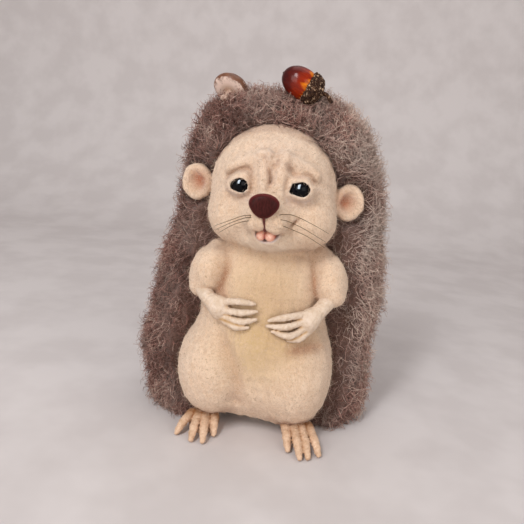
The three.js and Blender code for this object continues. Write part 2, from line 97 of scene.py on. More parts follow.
# ---- forms
def gap_to_path(points: Points, path: Points, radii: Sequence[float] | None = None) -> Points:
    """Measures how far points are from a path of straight runs, or from a roll along it.

    Args:
        points: One point a row, with as many columns as the path.
        path: The path's corners, one a row.
        radii: The roll's radius at each corner.

    Returns:
        The distance of each point.
    """
    best = np.full(len(points), 1e9)
    radii = np.zeros(len(path)) if radii is None else radii
    for a, b, start, end in zip(path[:-1], path[1:], radii[:-1], radii[1:]):
        run = b - a
        share = np.clip(((points - a) @ run) / max(run @ run, 1e-9), 0, 1)
        away = np.linalg.norm(points - a - share[:, None] * run, axis=1)
        best = np.minimum(best, away - (start + share * (end - start)))
    return best


def unit(vectors: Points, least: float = 1e-6) -> Points:
    """Brings vectors to length 1, apart from those shorter than least, which stay short."""
    return vectors / np.maximum(np.linalg.norm(vectors, axis=-1, keepdims=True), least)


def fading(gap: Points, width: float) -> Points:
    """Falls from 1 where the gap is nothing towards 0, as a bell of the given width."""
    return np.exp(-((gap / width) ** 2))


def smooth_step(value: Points, low: float, high: float) -> Points:
    """Rises smoothly from 0 at low to 1 at high."""
    share = np.clip((value - low) / (high - low), 0, 1)
    return share * share * (3 - 2 * share)


def curve_through(corners: Sequence[Vec], steps: int) -> Points:
    """Runs a smooth curve through a few corners.

    Args:
        corners: The points that it passes through.
        steps: How many runs each stretch between corners is cut into.

    Returns:
        The curve's points, one a row.
    """
    c = np.array(corners, float)
    c = np.vstack([2 * c[0] - c[1], c, 2 * c[-1] - c[-2]])
    made = []
    for n in range(1, len(c) - 2):
        for t in np.arange(steps) / steps:
            p0, p1, p2, p3 = c[n - 1:n + 3]
            made.append(0.5 * (2 * p1 + (p2 - p0) * t + (2 * p0 - 5 * p1 + 4 * p2 - p3) * t ** 2
                               + (3 * p1 - p0 - 3 * p2 + p3) * t ** 3))
    return np.array(made + [c[-2]])


@dataclass(frozen=True)
class Form:
    """A soft solid, told by its signed distance in millimetres, which is negative inside."""

    at: Callable[[Points], Points]

    def slope(self, points: Points, step: float = 0.05) -> Points:
        """The direction in which the distance grows, and how fast, at each point."""
        here = self.at(points)
        return np.stack([(self.at(points + step * np.eye(3)[n]) - here) / step for n in range(3)], 1)

    def grown(self, by: float) -> "Form":
        """The same form, thicker by a number of millimetres."""
        return Form(lambda p: self.at(p) - by)

    def rippled(self, *layers: "tuple[float, Ripple]") -> "Form":
        """The form made uneven, from how many millimetres deep each ripple is."""
        return Form(lambda p: sum((depth * ripple.at(p) for depth, ripple in layers), self.at(p)))

    def hollowed(self, soft: float, *cutters: "Form") -> "Form":
        """The form with others taken out of it, with soft edges.

        Args:
            soft: The edges' softness.
            *cutters: What is taken out.

        Returns:
            What is left.
        """
        def at(p: Points) -> Points:
            """Distance to what is left."""
            d = self.at(p)
            for cutter in cutters:
                d = -smooth_min(-d, cutter.at(p), soft)
            return d
        return Form(at)


def smooth_min(a: Points, b: Points, soft: float) -> Points:
    """The smaller of two distances, rounded where they are alike."""
    near = np.maximum(soft - np.abs(a - b), 0) / soft
    return np.minimum(a, b) - near * near * soft / 4


def blended(soft: float, *forms: Form) -> Form:
    """Forms run together, with a fillet of about the given softness where they meet.

    Args:
        soft: The fillet's size.
        *forms: The forms.

    Returns:
        The blend.
    """
    def at(p: Points) -> Points:
        """Distance to the blend."""
        d = forms[0].at(p)
        for form in forms[1:]:
            d = smooth_min(d, form.at(p), soft)
        return d
    return Form(at)


@dataclass(frozen=True)
class Lump:
    """An egg-shaped lump: its middle and its three half-sizes."""

    centre: Vec
    radii: Vec

    @property
    def form(self) -> Form:
        """The lump as a form."""
        c, r = np.array(self.centre), np.array(self.radii)

        def at(p: Points) -> Points:
            """Distance to the lump."""
            share = (p - c) / r
            near = np.linalg.norm(share, axis=1)
            return near * (near - 1) / np.maximum(np.linalg.norm(share / r, axis=1), 1e-9)
        return Form(at)


@dataclass(frozen=True)
class Roll:
    """A roll of felt or clay along a path, with a radius at each of its corners."""

    path: Points
    radii: Sequence[float]

    @property
    def form(self) -> Form:
        """The roll as a form."""
        return Form(lambda p: gap_to_path(p, self.path, self.radii))


@dataclass(frozen=True)
class Ripple:
    """Smooth seeded unevenness about zero, with a typical wavelength in millimetres."""

    seed: int
    wavelength: float
    waves: int = 9

    def at(self, points: Points) -> Points:
        """The unevenness at each point, mostly between -2 and 2.

        Args:
            points: The points.

        Returns:
            A number for each point.
        """
        draw = np.random.default_rng(self.seed)
        ways = draw.normal(size=(self.waves, 3))
        ways *= (2 * math.pi / self.wavelength * draw.uniform(0.6, 1.5, self.waves)
                 / np.linalg.norm(ways, axis=1))[:, None]
        phases = draw.uniform(0, 2 * math.pi, self.waves)
        return np.sin(points @ ways.T + phases).sum(1) * math.sqrt(2 / self.waves)


@dataclass(frozen=True)
class Crease:
    """A line pressed into the face, or raised from it where the depth is negative, seen from the front; its tint is
    brown pastel and painted shade along the line.
    """

    path: Outline
    width: float
    depth: float
    dye: float = 0.0

    def line(self, points: Points) -> Points:
        """How near each point is to the line, between 0 and 1."""
        return fading(gap_to_path(points[:, [0, 2]], np.array(self.path, float)), self.width)


@dataclass(frozen=True)
class Opening:
    """An outline seen from the front, within which something shows through the felt."""

    outline: Outline
    reach: float = 14.0

    def gap(self, points: Points) -> Points:
        """Distance to the outline seen from the front, negative within it.

        Args:
            points: The points.

        Returns:
            The distance of each.
        """
        flat = points[:, [0, 2]]
        loop = np.array(tuple(self.outline) + tuple(self.outline[:1]), float)
        gap = np.linalg.norm(flat - loop[:-1].mean(0), axis=1) - 4.0
        near = gap < self.reach
        if near.any():
            some = flat[near]
            inside = np.zeros(len(some), bool)
            for (ax, az), (bx, bz) in zip(loop[:-1], loop[1:]):
                spans = (az > some[:, 1]) != (bz > some[:, 1])
                at = ax + (some[:, 1] - az) / (bz - az if bz != az else 1e-9) * (bx - ax)
                inside ^= spans & (some[:, 0] < at)
            gap[near] = gap_to_path(some, loop) * np.where(inside, -1, 1)
        return gap

    def hole(self, back: float) -> Form:
        """What is taken out of the felt, back to a depth."""
        return Form(lambda p: np.maximum(self.gap(p), p[:, 1] - back))


@dataclass(frozen=True)
class Stain:
    """A tint laid along a path in the doll's frame; its kind tells pastel from painted shade and painted light."""

    dye: Dye
    path: Sequence[Vec]
    width: float
    strength: float

    def at(self, points: Points) -> Points:
        """The tint's strength at each point."""
        path = np.array(self.path if len(self.path) > 1 else [self.path[0]] * 2, float)
        return self.strength * fading(gap_to_path(points, path), self.width)


# ---- meshing
@dataclass(frozen=True)
class Lattice:
    """Grid lines along x, y and z, on which a form is meshed with one corner in each cell that it crosses."""

    xs: Points
    ys: Points
    zs: Points
    BLOCK = 4

    @staticmethod
    def runs(*stops: tuple[float, float]) -> Points:
        """Grid lines from stops of (place, cell), each cell size holding from its place to the next.

        Args:
            *stops: The stops, the last with any cell size.

        Returns:
            The lines' places.
        """
        lines = [stops[0][0]]
        for (start, cell), (end, _) in zip(stops[:-1], stops[1:]):
            lines += list(np.linspace(start, end, max(round((end - start) / cell), 1) + 1)[1:])
        return np.array(lines)

    @classmethod
    def around(cls, low: Sequence[float], high: Sequence[float], cell: float) -> "Lattice":
        """Even grid lines over a box, with two cells to spare on each side."""
        return cls(*(cls.runs((a - 2 * cell, cell), (b + 2 * cell, cell)) for a, b in zip(low, high)))

    def sampled(self, form: Form) -> Points:
        """The form's distance at each crossing of the lines, exact only near its surface.

        Args:
            form: The form.

        Returns:
            A distance for each crossing.
        """
        lines = (self.xs, self.ys, self.zs)
        shape = tuple(len(line) for line in lines)
        coarse = [line[np.minimum(np.arange(0, n + self.BLOCK, self.BLOCK), n - 1)] for n, line in zip(shape, lines)]
        grid = np.stack(np.meshgrid(*coarse, indexing="ij"), -1)
        rough = form.at(grid.reshape(-1, 3)).reshape(grid.shape[:3])
        nearest = [(np.arange(n) + self.BLOCK // 2) // self.BLOCK for n in shape]
        values = rough[np.ix_(*nearest)]
        reach = [np.gradient(line) * self.BLOCK for line in lines]
        span = np.sqrt(sum(r.reshape([-1 if n == m else 1 for m in range(3)]) ** 2 for n, r in enumerate(reach)))
        close = np.abs(values) < 0.85 * span + 1.5
        at = np.argwhere(close)
        places = np.stack([lines[n][at[:, n]] for n in range(3)], 1)
        values = values.astype(np.float64)
        values[close] = np.concatenate([form.at(part) for part in np.array_split(places, len(places) // 200000 + 1)])
        return values

    def net(self, form: Form) -> tuple[Points, Points]:
        """Meshes a form.

        Args:
            form: The form, which lies wholly within the lines.

        Returns:
            The corners in millimetres, and four corner numbers for each outward face.
        """
        values = self.sampled(form)
        lines = (self.xs, self.ys, self.zs)
        cells = np.array(values.shape) - 1
        total, count, quads = np.zeros((cells.prod(), 3)), np.zeros(cells.prod()), []
        for axis in range(3):
            u, v = (axis + 1) % 3, (axis + 2) % 3
            low = [slice(None)] * 3
            high = [slice(None)] * 3
            low[axis], high[axis] = slice(0, -1), slice(1, None)
            a, b = values[tuple(low)], values[tuple(high)]
            edges = np.argwhere((a < 0) != (b < 0))
            va, vb = a[tuple(edges.T)], b[tuple(edges.T)]
            crossing = np.stack([lines[n][edges[:, n]] for n in range(3)], 1)
            step = lines[axis][edges[:, axis] + 1] - lines[axis][edges[:, axis]]
            crossing[:, axis] += va / (va - vb) * step
            around = []
            for du, dv in ((0, 0), (1, 0), (1, 1), (0, 1)):
                cell = edges.copy()
                cell[:, u] -= du
                cell[:, v] -= dv
                flat = np.ravel_multi_index(tuple(np.clip(cell, 0, cells - 1).T), tuple(cells))
                count += np.bincount(flat, minlength=len(count))
                for n in range(3):
                    total[:, n] += np.bincount(flat, crossing[:, n], minlength=len(count))
                around.append(flat)
            faces = np.stack(around, 1)
            faces[va >= 0] = faces[va >= 0][:, ::-1]
            quads.append(faces)
        used = np.flatnonzero(count)
        number = np.zeros(len(count), np.int64)
        number[used] = np.arange(len(used))
        corners = total[used] / count[used][:, None]
        widths = [np.diff(line)[np.unravel_index(used, tuple(cells))[n]] for n, line in enumerate(lines)]
        return self.pulled(form, corners, 0.45 * np.min(widths, axis=0)), number[np.vstack(quads)]

    @staticmethod
    def pulled(form: Form, corners: Points, limit: Points) -> Points:
        """Draws corners onto the form's surface, each by no more than its limit.

        Args:
            form: The form.
            corners: The corners.
            limit: How far each may move.

        Returns:
            The moved corners.
        """
        moved = corners.copy()
        for _ in range(3):
            slope = form.slope(moved)
            moved -= slope * (form.at(moved) / np.maximum((slope ** 2).sum(1), 0.25))[:, None]
        shift = moved - corners
        far = np.linalg.norm(shift, axis=1)
        return corners + shift * np.minimum(1, limit / np.maximum(far, 1e-9))[:, None]


# ---- pieces
@dataclass(frozen=True)
class Bench:
    """Where the doll's own frame stands in the model's frame."""

    shift: Points

    @classmethod
    def from_frame(cls, eye_middle: Vec) -> "Bench":
        """Finds the bench from the left eye's box and that eye's middle in the doll's frame."""
        low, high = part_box("eye_left")
        return cls((np.array(low) + np.array(high)) / 2 / MM - np.array(eye_middle))

    def metres(self, points: Points) -> Points:
        """Places in the model's frame, in metres, of points in the doll's frame."""
        return (np.asarray(points, float) + self.shift) * MM

    def corners(self, mesh: Mesh) -> Points:
        """A finished mesh's corners in the doll's frame."""
        places = np.empty(len(mesh.vertices) * 3, np.float32)
        mesh.vertices.foreach_get("co", places)
        return places.reshape(-1, 3) / MM - self.shift


def marked(mesh: Mesh, name: str, values: Points) -> None:
    """Writes an attribute of a mesh's corners, with a number or a vector for each."""
    kind, key = ("FLOAT_VECTOR", "vector") if values.ndim == 2 else ("FLOAT", "value")
    mesh.attributes.new(name, kind, "POINT").data.foreach_set(key, np.ascontiguousarray(values, np.float32).ravel())


def stood(name: str, data: bpy.types.ID) -> Object:
    """Puts an object into the scene, unturned and at the origin."""
    made = bpy.data.objects.new(name, data)
    bpy.context.scene.collection.objects.link(made)
    return made


@dataclass
class Piece:
    """A mesh piece of the doll in the making."""

    name: str
    bench: Bench
    corners: Points
    faces: Points | Sequence[Sequence[int]]
    attributes: dict[str, Points] = field(default_factory=dict)

    def placed(self, material: Material, slot: str, *nodes: str) -> Object:
        """Args:
            material: Its finish.
            slot: The record's material slot.
            *nodes: The CAD nodes that it stands for.

        Returns:
            The finished object, with its place in its mesh.
        """
        mesh = bpy.data.meshes.new(self.name)
        mesh.from_pydata(self.bench.metres(self.corners).tolist(), [], np.asarray(self.faces).tolist()
                         if isinstance(self.faces, np.ndarray) else self.faces)
        for name, values in self.attributes.items():
            marked(mesh, name, values)
        mesh.shade_smooth()
        return declared(self.name, mesh, material, slot, *nodes)


def declared(name: str, mesh: Mesh, material: Material, slot: str, *nodes: str) -> Object:
    """Shows a finished mesh as a piece that rides on the doll and stands for CAD nodes.

    Args:
        name: The piece's name.
        mesh: Its mesh, in place.
        material: Its finish.
        slot: The record's material slot; not used.
        *nodes: The CAD nodes that it stands for.

    Returns:
        The piece's object.
    """
    mesh.materials.clear()
    mesh.materials.append(material)
    made = stood(name, mesh)
    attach(made, "root")
    if nodes:
        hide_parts(*nodes)
    log.info("%s: %d faces", name, len(mesh.polygons))
    return made


@dataclass(frozen=True)
class Lathe:
    """A piece turned round an axis, from a profile of (radius, height) pairs that starts and ends on the axis."""

    profile: Outline
    centre: Vec
    axis: Vec
    sides: int = 48

    @property
    def turn(self) -> Points:
        """Three rows: two directions across the axis, and the axis."""
        along = unit(np.array(self.axis, float))
        across = unit(np.cross(along, (0, 0, 1.0)))
        return np.stack([across, np.cross(along, across), along])

    def mesh(self) -> tuple[Points, list[list[int]], Points]:
        """Turns the profile.

        Returns:
            The corners in the doll's frame, the outward faces, and each corner's place in the lathe's own frame.
        """
        angles = np.arange(self.sides) / self.sides * 2 * math.pi
        rings = [(0.0, 0.0, self.profile[0][1])]
        for radius, height in self.profile[1:-1]:
            rings += [(radius * math.cos(a), radius * math.sin(a), height) for a in angles]
        rings.append((0.0, 0.0, self.profile[-1][1]))
        own = np.array(rings)
        faces, count = [], len(self.profile) - 2
        for n in range(self.sides):
            m = (n + 1) % self.sides
            faces.append([0, 1 + m, 1 + n])
            for ring in range(count - 1):
                a, b = 1 + ring * self.sides, 1 + (ring + 1) * self.sides
                faces.append([a + n, a + m, b + m, b + n])
            last = 1 + (count - 1) * self.sides
            faces.append([last + n, last + m, len(own) - 1])
        return own @ self.turn + self.centre, faces, own


def arc(radius: float, height: float, start: float, end: float, steps: int) -> list[tuple[float, float]]:
    """Profile points along part of an ellipse, between two angles above its middle."""
    return [(max(radius * math.cos(a), 0.0), height * math.sin(a)) for a in np.linspace(start, end, steps + 1)]


# ---- finishes
class NodeWork:
    """A node tree in the making."""

    tree: bpy.types.NodeTree

    def fed(self, socket: Socket, value: object) -> None:
        """Gives an input its value, or links another node's output to it.

        Args:
            socket: The input.
            value: Its value, or an output.
        """
        if isinstance(value, Socket):
            self.tree.links.new(value, socket)
        else:
            socket.default_value = value

    def node(self, kind: str, inputs: dict[int | str, object] | None = None, **settings: object) -> Node:
        """Adds a node.

        Args:
            kind: The node's type.
            inputs: Values or sockets for its inputs, by identifier or number.
            **settings: The node's own settings.

        Returns:
            The new node.
        """
        made = self.tree.nodes.new(kind)
        for key, value in settings.items():
            setattr(made, key, value)
        sockets = {socket.identifier: socket for socket in made.inputs}
        for key, value in (inputs or {}).items():
            self.fed(made.inputs[key] if isinstance(key, int) else sockets[key], value)
        return made

    def out(self, kind: str, inputs: dict[int | str, object] | None = None, **settings: object) -> Socket:
        """Adds a node and gives its first output."""
        return self.node(kind, inputs, **settings).outputs[0]

    def times(self, a: Socket | float, b: Socket | float, way: str = "MULTIPLY") -> Socket:
        """Combines two numbers, by multiplying them unless another way is named."""
        return self.out("ShaderNodeMath", {0: a, 1: b}, operation=way)


class Recipe(NodeWork):
    """A node material in the making, on one Principled shader."""

    def __init__(self, name: str, **values: object) -> None:
        """Starts a material.

        Args:
            name: The material's name.
            **values: The shader's constant inputs, with underscores for spaces.
        """
        self.material = bpy.data.materials.new(name)
        self.material.use_nodes = True
        self.tree = self.material.node_tree
        self.shader = self.tree.nodes["Principled BSDF"]
        for key, value in values.items():
            self.shader.inputs[key.replace("_", " ")].default_value = value

    def place(self) -> Socket:
        """Object coordinates."""
        return self.node("ShaderNodeTexCoord").outputs["Object"]

    def own(self, name: str) -> Socket:
        """An attribute's vector, where a pattern follows the piece's own axes."""
        return self.node("ShaderNodeAttribute", attribute_name=name).outputs["Vector"]

    def amount(self, name: str) -> Socket:
        """An attribute's number."""
        return self.node("ShaderNodeAttribute", attribute_name=name).outputs["Fac"]

    def noise(self, where: Socket, grain: float, detail: float = 3.0, distortion: float = 0.0) -> Socket:
        """Noise whose grain is in millimetres on Object coordinates."""
        return self.out("ShaderNodeTexNoise", {
            "Vector": where, "Scale": 1 / (grain * MM), "Detail": detail, "Roughness": 0.55,
            "Distortion": distortion})

    def own_noise(self, where: Socket, scale: float, detail: float) -> Socket:
        """Noise on a piece's own axes."""
        return self.out("ShaderNodeTexNoise", {"Vector": where, "Scale": scale, "Detail": detail})

    def off_axis(self, own: Socket) -> Socket:
        """How far a place is from the piece's own axis."""
        flat = self.stretched(own, (1.0, 1.0, 0.0))
        return self.node("ShaderNodeVectorMath", {0: flat}, operation="LENGTH").outputs[1]

    def along_axis(self, own: Socket) -> Socket:
        """How far a place is along the piece's own axis."""
        return self.node("ShaderNodeSeparateXYZ", {0: own}).outputs[2]

    def stretched(self, where: Socket, scale: Vec) -> Socket:
        """Coordinates scaled along their axes."""
        return self.out("ShaderNodeMapping", {"Vector": where, "Scale": scale})

    def ramp(self, amount: Socket, *stops: tuple[float, Colour]) -> Socket:
        """Colours in steps along an amount.

        Args:
            amount: The amount.
            *stops: Pairs of an amount and its colour.

        Returns:
            The colour.
        """
        made = self.node("ShaderNodeValToRGB", {0: amount})
        ramp = made.color_ramp
        while len(ramp.elements) < len(stops):
            ramp.elements.new(0.5)
        for element, (place, colour) in zip(ramp.elements, stops):
            element.position = place
            element.color = (*colour, 1.0)
        return made.outputs[0]

    def curve(self, amount: Socket, low: float, high: float, start: float = 0.0, end: float = 1.0) -> Socket:
        """Maps an amount from low..high to start..end, clamped."""
        return self.out("ShaderNodeMapRange", {
            "Value": amount, "From Min": low, "From Max": high, "To Min": start, "To Max": end})

    def mixed(self, share: Socket, a: Socket | Colour, b: Socket | Colour) -> Socket:
        """Mixes two colours, each a socket or a colour."""
        a, b = (value if isinstance(value, Socket) else (*value, 1.0) for value in (a, b))
        return self.node("ShaderNodeMix", {0: share, 6: a, 7: b}, data_type="RGBA").outputs[2]

    def done(self, colour: Socket, *relief: tuple[Socket, float], rough: Socket | None = None) -> Material:
        """Gives the shader its colour and relief, and its roughness where that isn't constant.

        Args:
            colour: The colour.
            *relief: Heights, and how many millimetres deep each is.
            rough: The roughness.

        Returns:
            The finished material.
        """
        self.fed(self.shader.inputs["Base Color"], colour)
        if rough is not None:
            self.fed(self.shader.inputs["Roughness"], rough)
        below = {}
        for height, depth in relief:
            bump = self.out("ShaderNodeBump", {"Height": height, "Distance": depth * MM, "Strength": 1.0, **below})
            self.fed(self.shader.inputs["Normal"], bump)
            below = {"Normal": bump}
        return self.material


@dataclass(frozen=True)
class FeltFinish:
    """Cream needle-felted wool, matted and a little mottled, with pastel tints and with painted shade and painted
    light laid on from the skin's attributes.
    """

    cream: Colour = (0.82, 0.59, 0.42)
    light: Colour = (0.88, 0.67, 0.51)
    tan: Colour = (0.76, 0.52, 0.35)
    fibre: Colour = (0.42, 0.26, 0.15)
    # Warm, cool, pale and ochre are pastel colours that also carry painted shade and painted light.
    warm: Colour = (0.34, 0.145, 0.065)
    flush: Colour = (0.46, 0.14, 0.055)
    cool: Colour = (0.5, 0.41, 0.44)
    pale: Colour = (0.86, 0.75, 0.66)
    ochre: Colour = (0.66, 0.45, 0.23)

    def material(self) -> Material:
        """Builds the felt.

        Returns:
            The felt's material.
        """
        r = Recipe("felt", Roughness=0.95, Specular_IOR_Level=0.15, Sheen_Weight=0.25, Sheen_Roughness=0.6)
        where = r.place()
        patches = r.noise(where, 9.0, 4.0)
        mottle = r.noise(where, 1.6, 3.0, 1.2)
        colour = r.mixed(r.curve(patches, 0.42, 0.6), self.tan, self.cream)
        colour = r.mixed(r.curve(mottle, 0.38, 0.62, 0.0, 0.9), colour, self.light)
        strands = r.noise(r.stretched(where, (1.0, 1.0, 0.28)), 0.62, 2.0, 2.4)
        colour = r.mixed(r.curve(strands, 0.5, 0.7, 0.0, 0.6), colour, self.fibre)
        flecks = r.times(r.curve(r.noise(where, 1.1, 2.0, 0.8), 0.6, 0.68), r.curve(patches, 0.4, 0.6, 0.2, 1.0))
        colour = r.mixed(r.times(flecks, 0.8), colour, self.fibre)
        # Each tint attribute, pastel with painted shade and painted light, laid on and broken up by noise.
        for dye, tint, breakup in ((Dye.OCHRE, self.ochre, mottle), (Dye.WARM, self.warm, strands),
                                (Dye.FLUSH, self.flush, mottle), (Dye.COOL, self.cool, mottle),
                                (Dye.PALE, self.pale, mottle)):
            tint_and_shade_share = r.times(r.amount(dye.value), r.curve(breakup, 0.3, 0.68, 0.55, 1.3))
            colour = r.mixed(tint_and_shade_share, colour, tint)
        hair = r.noise(where, 0.45, 3.0, 1.5)
        return r.done(colour, (mottle, 0.7), (hair, 0.5))


@dataclass(frozen=True)
class WoolFinish:
    """Reddish grey-brown wool, dark at the roots and paler and greyer towards the tips: painted shade deep in the
    coat and painted light at the tips.
    """

    root: Colour = (0.11, 0.048, 0.036)
    middle: Colour = (0.448, 0.222, 0.178)
    tip: Colour = (0.85, 0.665, 0.545)
    grey: Colour = (0.54, 0.45, 0.39)

    def material(self) -> Material:
        """Builds the wool of the locks, from each fibre's own tone and tint.

        Returns:
            The locks' material.
        """
        r = Recipe("wool", Roughness=0.7, Specular_IOR_Level=0.3)
        # Each lock's own tone, with painted shade at the root and painted light at the tip.
        tone = r.ramp(r.amount("wool_tone"), (0.0, self.root), (0.5, self.middle), (1.0, self.tip))
        colour = r.mixed(r.amount("wool_tint"), tone, self.grey)
        fine = r.noise(r.place(), 0.5, 2.0)
        return r.done(r.mixed(r.curve(fine, 0.3, 0.7, 0.0, 0.3), colour, self.root))


@dataclass(frozen=True)
class UndercoatFinish:
    """The matted dark wool under the locks."""

    dark: Colour = (0.075, 0.034, 0.025)
    brown: Colour = (0.32, 0.18, 0.14)

    def material(self) -> Material:
        """Builds the undercoat.

        Returns:
            The undercoat's material.
        """
        r = Recipe("undercoat", Roughness=1.0, Specular_IOR_Level=0.1, Sheen_Weight=0.2)
        where = r.place()
        mat = r.noise(where, 0.9, 4.0, 2.5)
        clumps = r.noise(where, 7.0, 3.0)
        colour = r.mixed(r.curve(mat, 0.35, 0.7), self.dark, self.brown)
        colour = r.mixed(r.curve(clumps, 0.4, 0.65, 0.0, 0.5), colour, self.dark)
        return r.done(colour, (mat, 1.2))


@dataclass(frozen=True)
class ClayFinish:
    """Hand-modelled matt clay, browner in its creases, from colour worked in and from painted shade."""

    name: str
    light: Colour
    main: Colour
    crease: Colour
    grain: float = 1.1

    def material(self) -> Material:
        """Builds the clay.

        Returns:
            The clay's material.
        """
        r = Recipe(self.name, Roughness=0.55, Specular_IOR_Level=0.35, Coat_Weight=0.08, Coat_Roughness=0.4)
        where = r.place()
        cloud = r.noise(where, 4.0, 3.0)
        streak = r.noise(where, self.grain, 3.0, 1.5)
        colour = r.mixed(r.curve(cloud, 0.35, 0.65), self.main, self.light)
        colour = r.mixed(r.curve(streak, 0.5, 0.72, 0.0, 0.42), colour, self.crease)
        # Brown in the creases: colour worked in, and painted shade.
        colour = r.mixed(r.amount("rubbed"), colour, self.crease)
        fine = r.noise(where, 0.5, 2.0)
        rough = r.curve(streak, 0.3, 0.7, 0.45, 0.68)
        return r.done(colour, (streak, 0.24), (fine, 0.1), rough=rough)


@dataclass(frozen=True)
class EyeFinish:
    """Glossy black glass, with an iris barely paler than its pupil and rim."""

    pupil: Colour = (0.0003, 0.0003, 0.0004)
    iris: Colour = (0.0008, 0.0007, 0.0009)
    rim: Colour = (0.0005, 0.0005, 0.0006)

    def material(self) -> Material:
        """Builds the eye, from its own frame's attribute.

        Returns:
            The glass's material.
        """
        r = Recipe("eye_glass", Roughness=0.03, Specular_IOR_Level=0.12)
        own = r.own("own_place")
        colour = r.ramp(r.off_axis(own), (0.0, self.pupil), (0.36, self.pupil), (0.46, self.iris),
                        (0.78, self.iris), (0.9, self.rim))
        flecks = r.own_noise(own, 9.0, 3.0)
        return r.done(r.mixed(r.curve(flecks, 0.4, 0.7, 0.0, 0.5), colour, self.pupil))


@dataclass(frozen=True)
class NoseFinish:
    """Satin maroon clay, redder round its rim, partly its own colour and partly a painted rim highlight, with faint
    brush marks.
    """

    dark: Colour = (0.03, 0.006, 0.005)
    brown: Colour = (0.052, 0.01, 0.009)
    rim: Colour = (0.13, 0.018, 0.019)

    def material(self) -> Material:
        """Builds the nose.

        Returns:
            The nose's material.
        """
        r = Recipe("nose_clay", Roughness=0.45, Specular_IOR_Level=0.08)
        where = r.place()
        marks = r.noise(r.stretched(where, (1.0, 1.0, 0.3)), 0.8, 3.0)
        colour = r.mixed(r.curve(marks, 0.35, 0.65), self.dark, self.brown)
        colour = r.mixed(r.amount("rim"), colour, self.rim)
        rough = r.curve(marks, 0.3, 0.7, 0.34, 0.52)
        return r.done(colour, (marks, 0.1), (r.noise(where, 0.4, 2.0), 0.03), rough=rough)


@dataclass(frozen=True)
class TongueFinish:
    """Glossy salmon clay, red along the middle, and darker red at the back and at the mouth's corner as painted
    shade.
    """

    salmon: Colour = (0.78, 0.36, 0.25)
    peach: Colour = (0.88, 0.54, 0.41)
    red: Colour = (0.4, 0.07, 0.045)

    def material(self) -> Material:
        """Builds the tongue.

        Returns:
            The tongue's material.
        """
        r = Recipe("tongue_clay", Roughness=0.28, Specular_IOR_Level=0.5, Coat_Weight=0.4, Coat_Roughness=0.15)
        where = r.place()
        cloud = r.noise(where, 1.6, 3.0)
        colour = r.mixed(r.curve(cloud, 0.4, 0.6), self.salmon, self.peach)
        return r.done(r.mixed(r.amount("rubbed"), colour, self.red), (r.noise(where, 0.5, 2.0), 0.06))


@dataclass(frozen=True)
class ResinFinish:
    """Clear-coated resin that runs from purple-black at the acorn's tip to orange at its cup."""

    tip: Colour = (0.04, 0.004, 0.004)
    maroon: Colour = (0.085, 0.006, 0.003)
    red: Colour = (0.26, 0.018, 0.002)
    orange: Colour = (0.95, 0.3, 0.003)
    half_length: float = 11.6

    def material(self) -> Material:
        """Builds the resin, from the nut's own frame's attribute.

        Returns:
            The nut's material.
        """
        r = Recipe("nut_resin", Roughness=0.3, Specular_IOR_Level=0.06, Coat_Weight=0.28, Coat_Roughness=0.16)
        own = r.own("own_place")
        fine = r.own_noise(r.stretched(own, (1.0, 1.0, 0.07)), 2.6, 4.0)
        broad = r.own_noise(r.stretched(own, (1.0, 1.0, 0.35)), 0.28, 2.0)
        share = r.curve(r.along_axis(own), self.half_length, -self.half_length * 0.75)
        share = r.times(share, r.curve(broad, 0.3, 0.7, -0.12, 0.12), "ADD")
        colour = r.ramp(share, (0.1, self.tip), (0.34, self.maroon), (0.66, self.red), (0.9, self.orange))
        colour = r.mixed(r.curve(fine, 0.5, 0.68, 0.0, 0.5), colour, self.maroon)
        return r.done(colour, (fine, 0.02))


@dataclass(frozen=True)
class CupFinish:
    """Rough dark bark with brown and tan specks."""

    dark: Colour = (0.016, 0.006, 0.004)
    brown: Colour = (0.08, 0.032, 0.014)
    tan: Colour = (0.62, 0.42, 0.27)

    def material(self) -> Material:
        """Builds the cup's bark.

        Returns:
            The bark's material.
        """
        r = Recipe("acorn_bark", Roughness=0.75, Specular_IOR_Level=0.22)
        where = r.place()
        grains = r.noise(where, 1.0, 4.0, 1.0)
        colour = r.ramp(grains, (0.42, self.dark), (0.6, self.brown), (0.74, self.tan))
        colour = r.mixed(r.curve(r.amount("grain_tone"), 0.84, 1.0, 0.0, 0.8), colour, self.tan)
        return r.done(colour, (grains, 0.6))


@dataclass(frozen=True)
class CapFinish:
    """A painted mushroom cap: brown and satin on top, cream underneath, tan towards the stem as painted shade under
    the cap.
    """

    top: Colour = (0.105, 0.038, 0.018)
    edge: Colour = (0.17, 0.062, 0.027)
    under: Colour = (0.48, 0.32, 0.23)
    pale: Colour = (0.78, 0.59, 0.5)
    ring: tuple[float, float] = (3.0, 7.0)

    def material(self) -> Material:
        """Builds the cap, from its own frame's attribute.

        Returns:
            The cap's material.
        """
        r = Recipe("mushroom_paint", Roughness=0.42, Specular_IOR_Level=0.4, Coat_Weight=0.15, Coat_Roughness=0.3)
        own = r.own("own_place")
        cloud = r.own_noise(own, 0.35, 4.0)
        height = r.times(r.along_axis(own), r.curve(cloud, 0.3, 0.7, -0.4, 0.4), "ADD")
        top = r.mixed(r.curve(cloud, 0.35, 0.65), self.top, self.edge)
        # Tan towards the stem, painted shade under the cap, paling to cream at the edge.
        under = r.mixed(r.curve(r.off_axis(own), *self.ring), self.under, self.pale)
        colour = r.mixed(r.curve(height, -1.9, -1.3), under, top)
        return r.done(colour, (cloud, 0.15))


@dataclass(frozen=True)
class PlainFinish:
    """A small plain part with a little mottling, such as a whisker, a stem or the thread under the nose."""

    name: str
    light: Colour
    dark: Colour
    roughness: float
    grain: float

    def material(self) -> Material:
        """Builds the finish."""
        r = Recipe(self.name, Roughness=self.roughness, Specular_IOR_Level=0.35)
        cloud = r.noise(r.place(), self.grain, 3.0, 1.0)
        return r.done(r.mixed(r.curve(cloud, 0.35, 0.65), self.dark, self.light), (cloud, 0.08))


